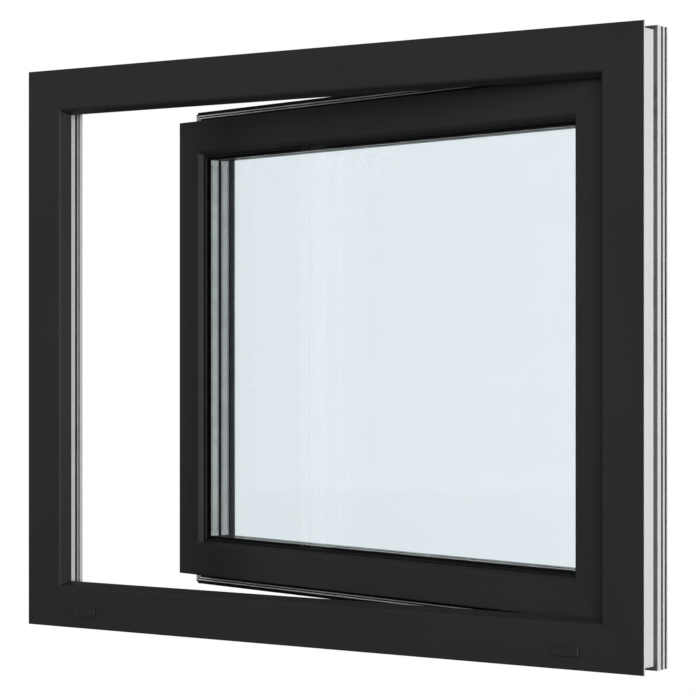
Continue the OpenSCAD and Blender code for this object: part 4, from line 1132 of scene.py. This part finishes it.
class TURNWINDOW_OT_studio(bpy.types.Operator):
    """The pale floor, the soft lights and the camera"""
    bl_idname = "turnwindow.studio"
    bl_label = "Set up the studio"

    def execute(self, context):
        settings = context.scene.turn_window.studio
        self.camera(context, settings)
        self.world(context, settings)
        self.floor(settings)
        middle = (CAD_BOX[0] + CAD_BOX[1]) / 2
        self.soft_box("side_light", (4.2, -0.55, 0.7), middle, 2.4, 1.4, settings.side_power)
        self.soft_box("key_light", (4.2, -4.6, 0.42), middle, 2.2, 1.6, settings.key_power)
        front = self.soft_box("front_light", (-2.6, -3.2, 1.3), middle, 2.4, 1.8, settings.front_power)
        front.visible_glossy = False
        self.soft_box("top_light", (0.4, -0.6, 3.0), Vector((0.4, -0.3, 0.0)), 3.0, 3.0, settings.top_power)
        self.soft_box("room_light", (-1.6, 3.4, 0.55), middle, 2.2, 1.2, settings.room_power)
        context.scene.view_settings.view_transform = "Standard"
        context.scene.view_settings.look = "None"
        return {"FINISHED"}

    def camera(self, context, settings):
        data = bpy.data.cameras.new("camera")
        data.lens = settings.lens
        data.sensor_width = 36.0
        camera = bpy.data.objects.new("camera", data)
        camera.location = settings.camera_place
        camera.rotation_euler = (math.pi / 2, 0.0, settings.view_angle)
        context.scene.collection.objects.link(camera)
        context.scene.camera = camera

    def world(self, context, settings):
        """A soft fill from all round that clear mirrors see as dim and the camera sees as bright."""
        world = bpy.data.worlds.new("studio")
        world.use_nodes = True
        tree = world.node_tree
        path = tree.nodes.new("ShaderNodeLightPath").outputs
        around = tree.nodes["Background"]
        feed(tree, around.inputs["Color"], (1.0, 1.0, 1.0, 1.0))
        feed(tree, around.inputs["Strength"], settings.fill)
        lit = around.outputs[0]
        for ray, strength in (("Is Singular Ray", settings.mirrored), ("Is Camera Ray", settings.backdrop)):
            seen = made(tree, "ShaderNodeBackground", {"Color": (1.0, 1.0, 1.0, 1.0), "Strength": strength})
            lit = mix_shaders(tree, path[ray], lit, seen.outputs[0])
        tree.links.new(lit, tree.nodes["World Output"].inputs["Surface"])
        context.scene.world = world

    def floor(self, settings):
        """A wide pale floor that the camera sees as white and that bounces a little light elsewhere."""
        mesh = bpy.data.meshes.new("floor")
        reach = 20.0
        corners = [(-reach, -reach, 0), (reach, -reach, 0), (reach, reach, 0), (-reach, reach, 0)]
        mesh.from_pydata(corners, [], [(0, 1, 2, 3)])
        floor = bpy.data.objects.new("floor", mesh)
        bpy.context.scene.collection.objects.link(floor)
        material = bpy.data.materials.new("pale_floor")
        material.use_nodes = True
        tree = material.node_tree
        shader = tree.nodes["Principled BSDF"]
        for name, value in (("Base Color", (*settings.floor_colour, 1.0)), ("Roughness", 0.7),
                            ("Specular IOR Level", 0.1)):
            shader.inputs[name].default_value = value
        glow = made(tree, "ShaderNodeEmission", {"Strength": settings.backdrop}).outputs[0]
        camera_ray = tree.nodes.new("ShaderNodeLightPath").outputs["Is Camera Ray"]
        seen = mix_shaders(tree, camera_ray, shader.outputs[0], glow)
        tree.links.new(seen, tree.nodes["Material Output"].inputs["Surface"])
        mesh.materials.append(material)
        floor.location.z = -1 * MM

    def soft_box(self, name, place, target, width, height, power):
        data = bpy.data.lights.new(name, "AREA")
        data.shape = "RECTANGLE"
        data.size, data.size_y = width, height
        data.energy = power
        light = bpy.data.objects.new(name, data)
        light.location = place
        light.rotation_euler = (Vector(target) - Vector(place)).to_track_quat("-Z", "Y").to_euler()
        bpy.context.scene.collection.objects.link(light)
        return light


class TURNWINDOW_PT_panel(bpy.types.Panel):
    """Lists the steps that finish the window"""
    bl_idname = "TURNWINDOW_PT_panel"
    bl_label = "Turn window"
    bl_space_type = "VIEW_3D"
    bl_region_type = "UI"
    bl_category = "Turn window"

    def draw(self, context):
        column = self.layout.column(align=True)
        for operator in OPERATORS:
            column.operator(operator.bl_idname)
        settings = context.scene.turn_window
        for group in (settings.finish, settings.fitting, settings.studio):
            box = self.layout.box()
            for name in group.bl_rna.properties.keys():
                if name not in ("rna_type", "name"):
                    box.prop(group, name)


OPERATORS = (
    TURNWINDOW_OT_profiles,
    TURNWINDOW_OT_glazing,
    TURNWINDOW_OT_metal,
    TURNWINDOW_OT_perforations,
    TURNWINDOW_OT_screws,
    TURNWINDOW_OT_handle,
    TURNWINDOW_OT_hinges,
    TURNWINDOW_OT_drain_caps,
    TURNWINDOW_OT_studio,
)
CLASSES = (
    TurnWindowFinishSettings,
    TurnWindowFittingSettings,
    TurnWindowStudioSettings,
    TurnWindowSettings,
    *OPERATORS,
    TURNWINDOW_PT_panel,
)


def register():
    for cls in CLASSES:
        bpy.utils.register_class(cls)
    bpy.types.Scene.turn_window = PointerProperty(type=TurnWindowSettings, name="Turn window",
                                                  description="Sizes, colours and lights of the turn window")


def unregister():
    del bpy.types.Scene.turn_window
    for cls in reversed(CLASSES):
        bpy.utils.unregister_class(cls)


def main():
    register()
    for operator in OPERATORS:
        group, name = operator.bl_idname.split(".")
        getattr(getattr(bpy.ops, group), name)()


if __name__ == "__main__":
    main()
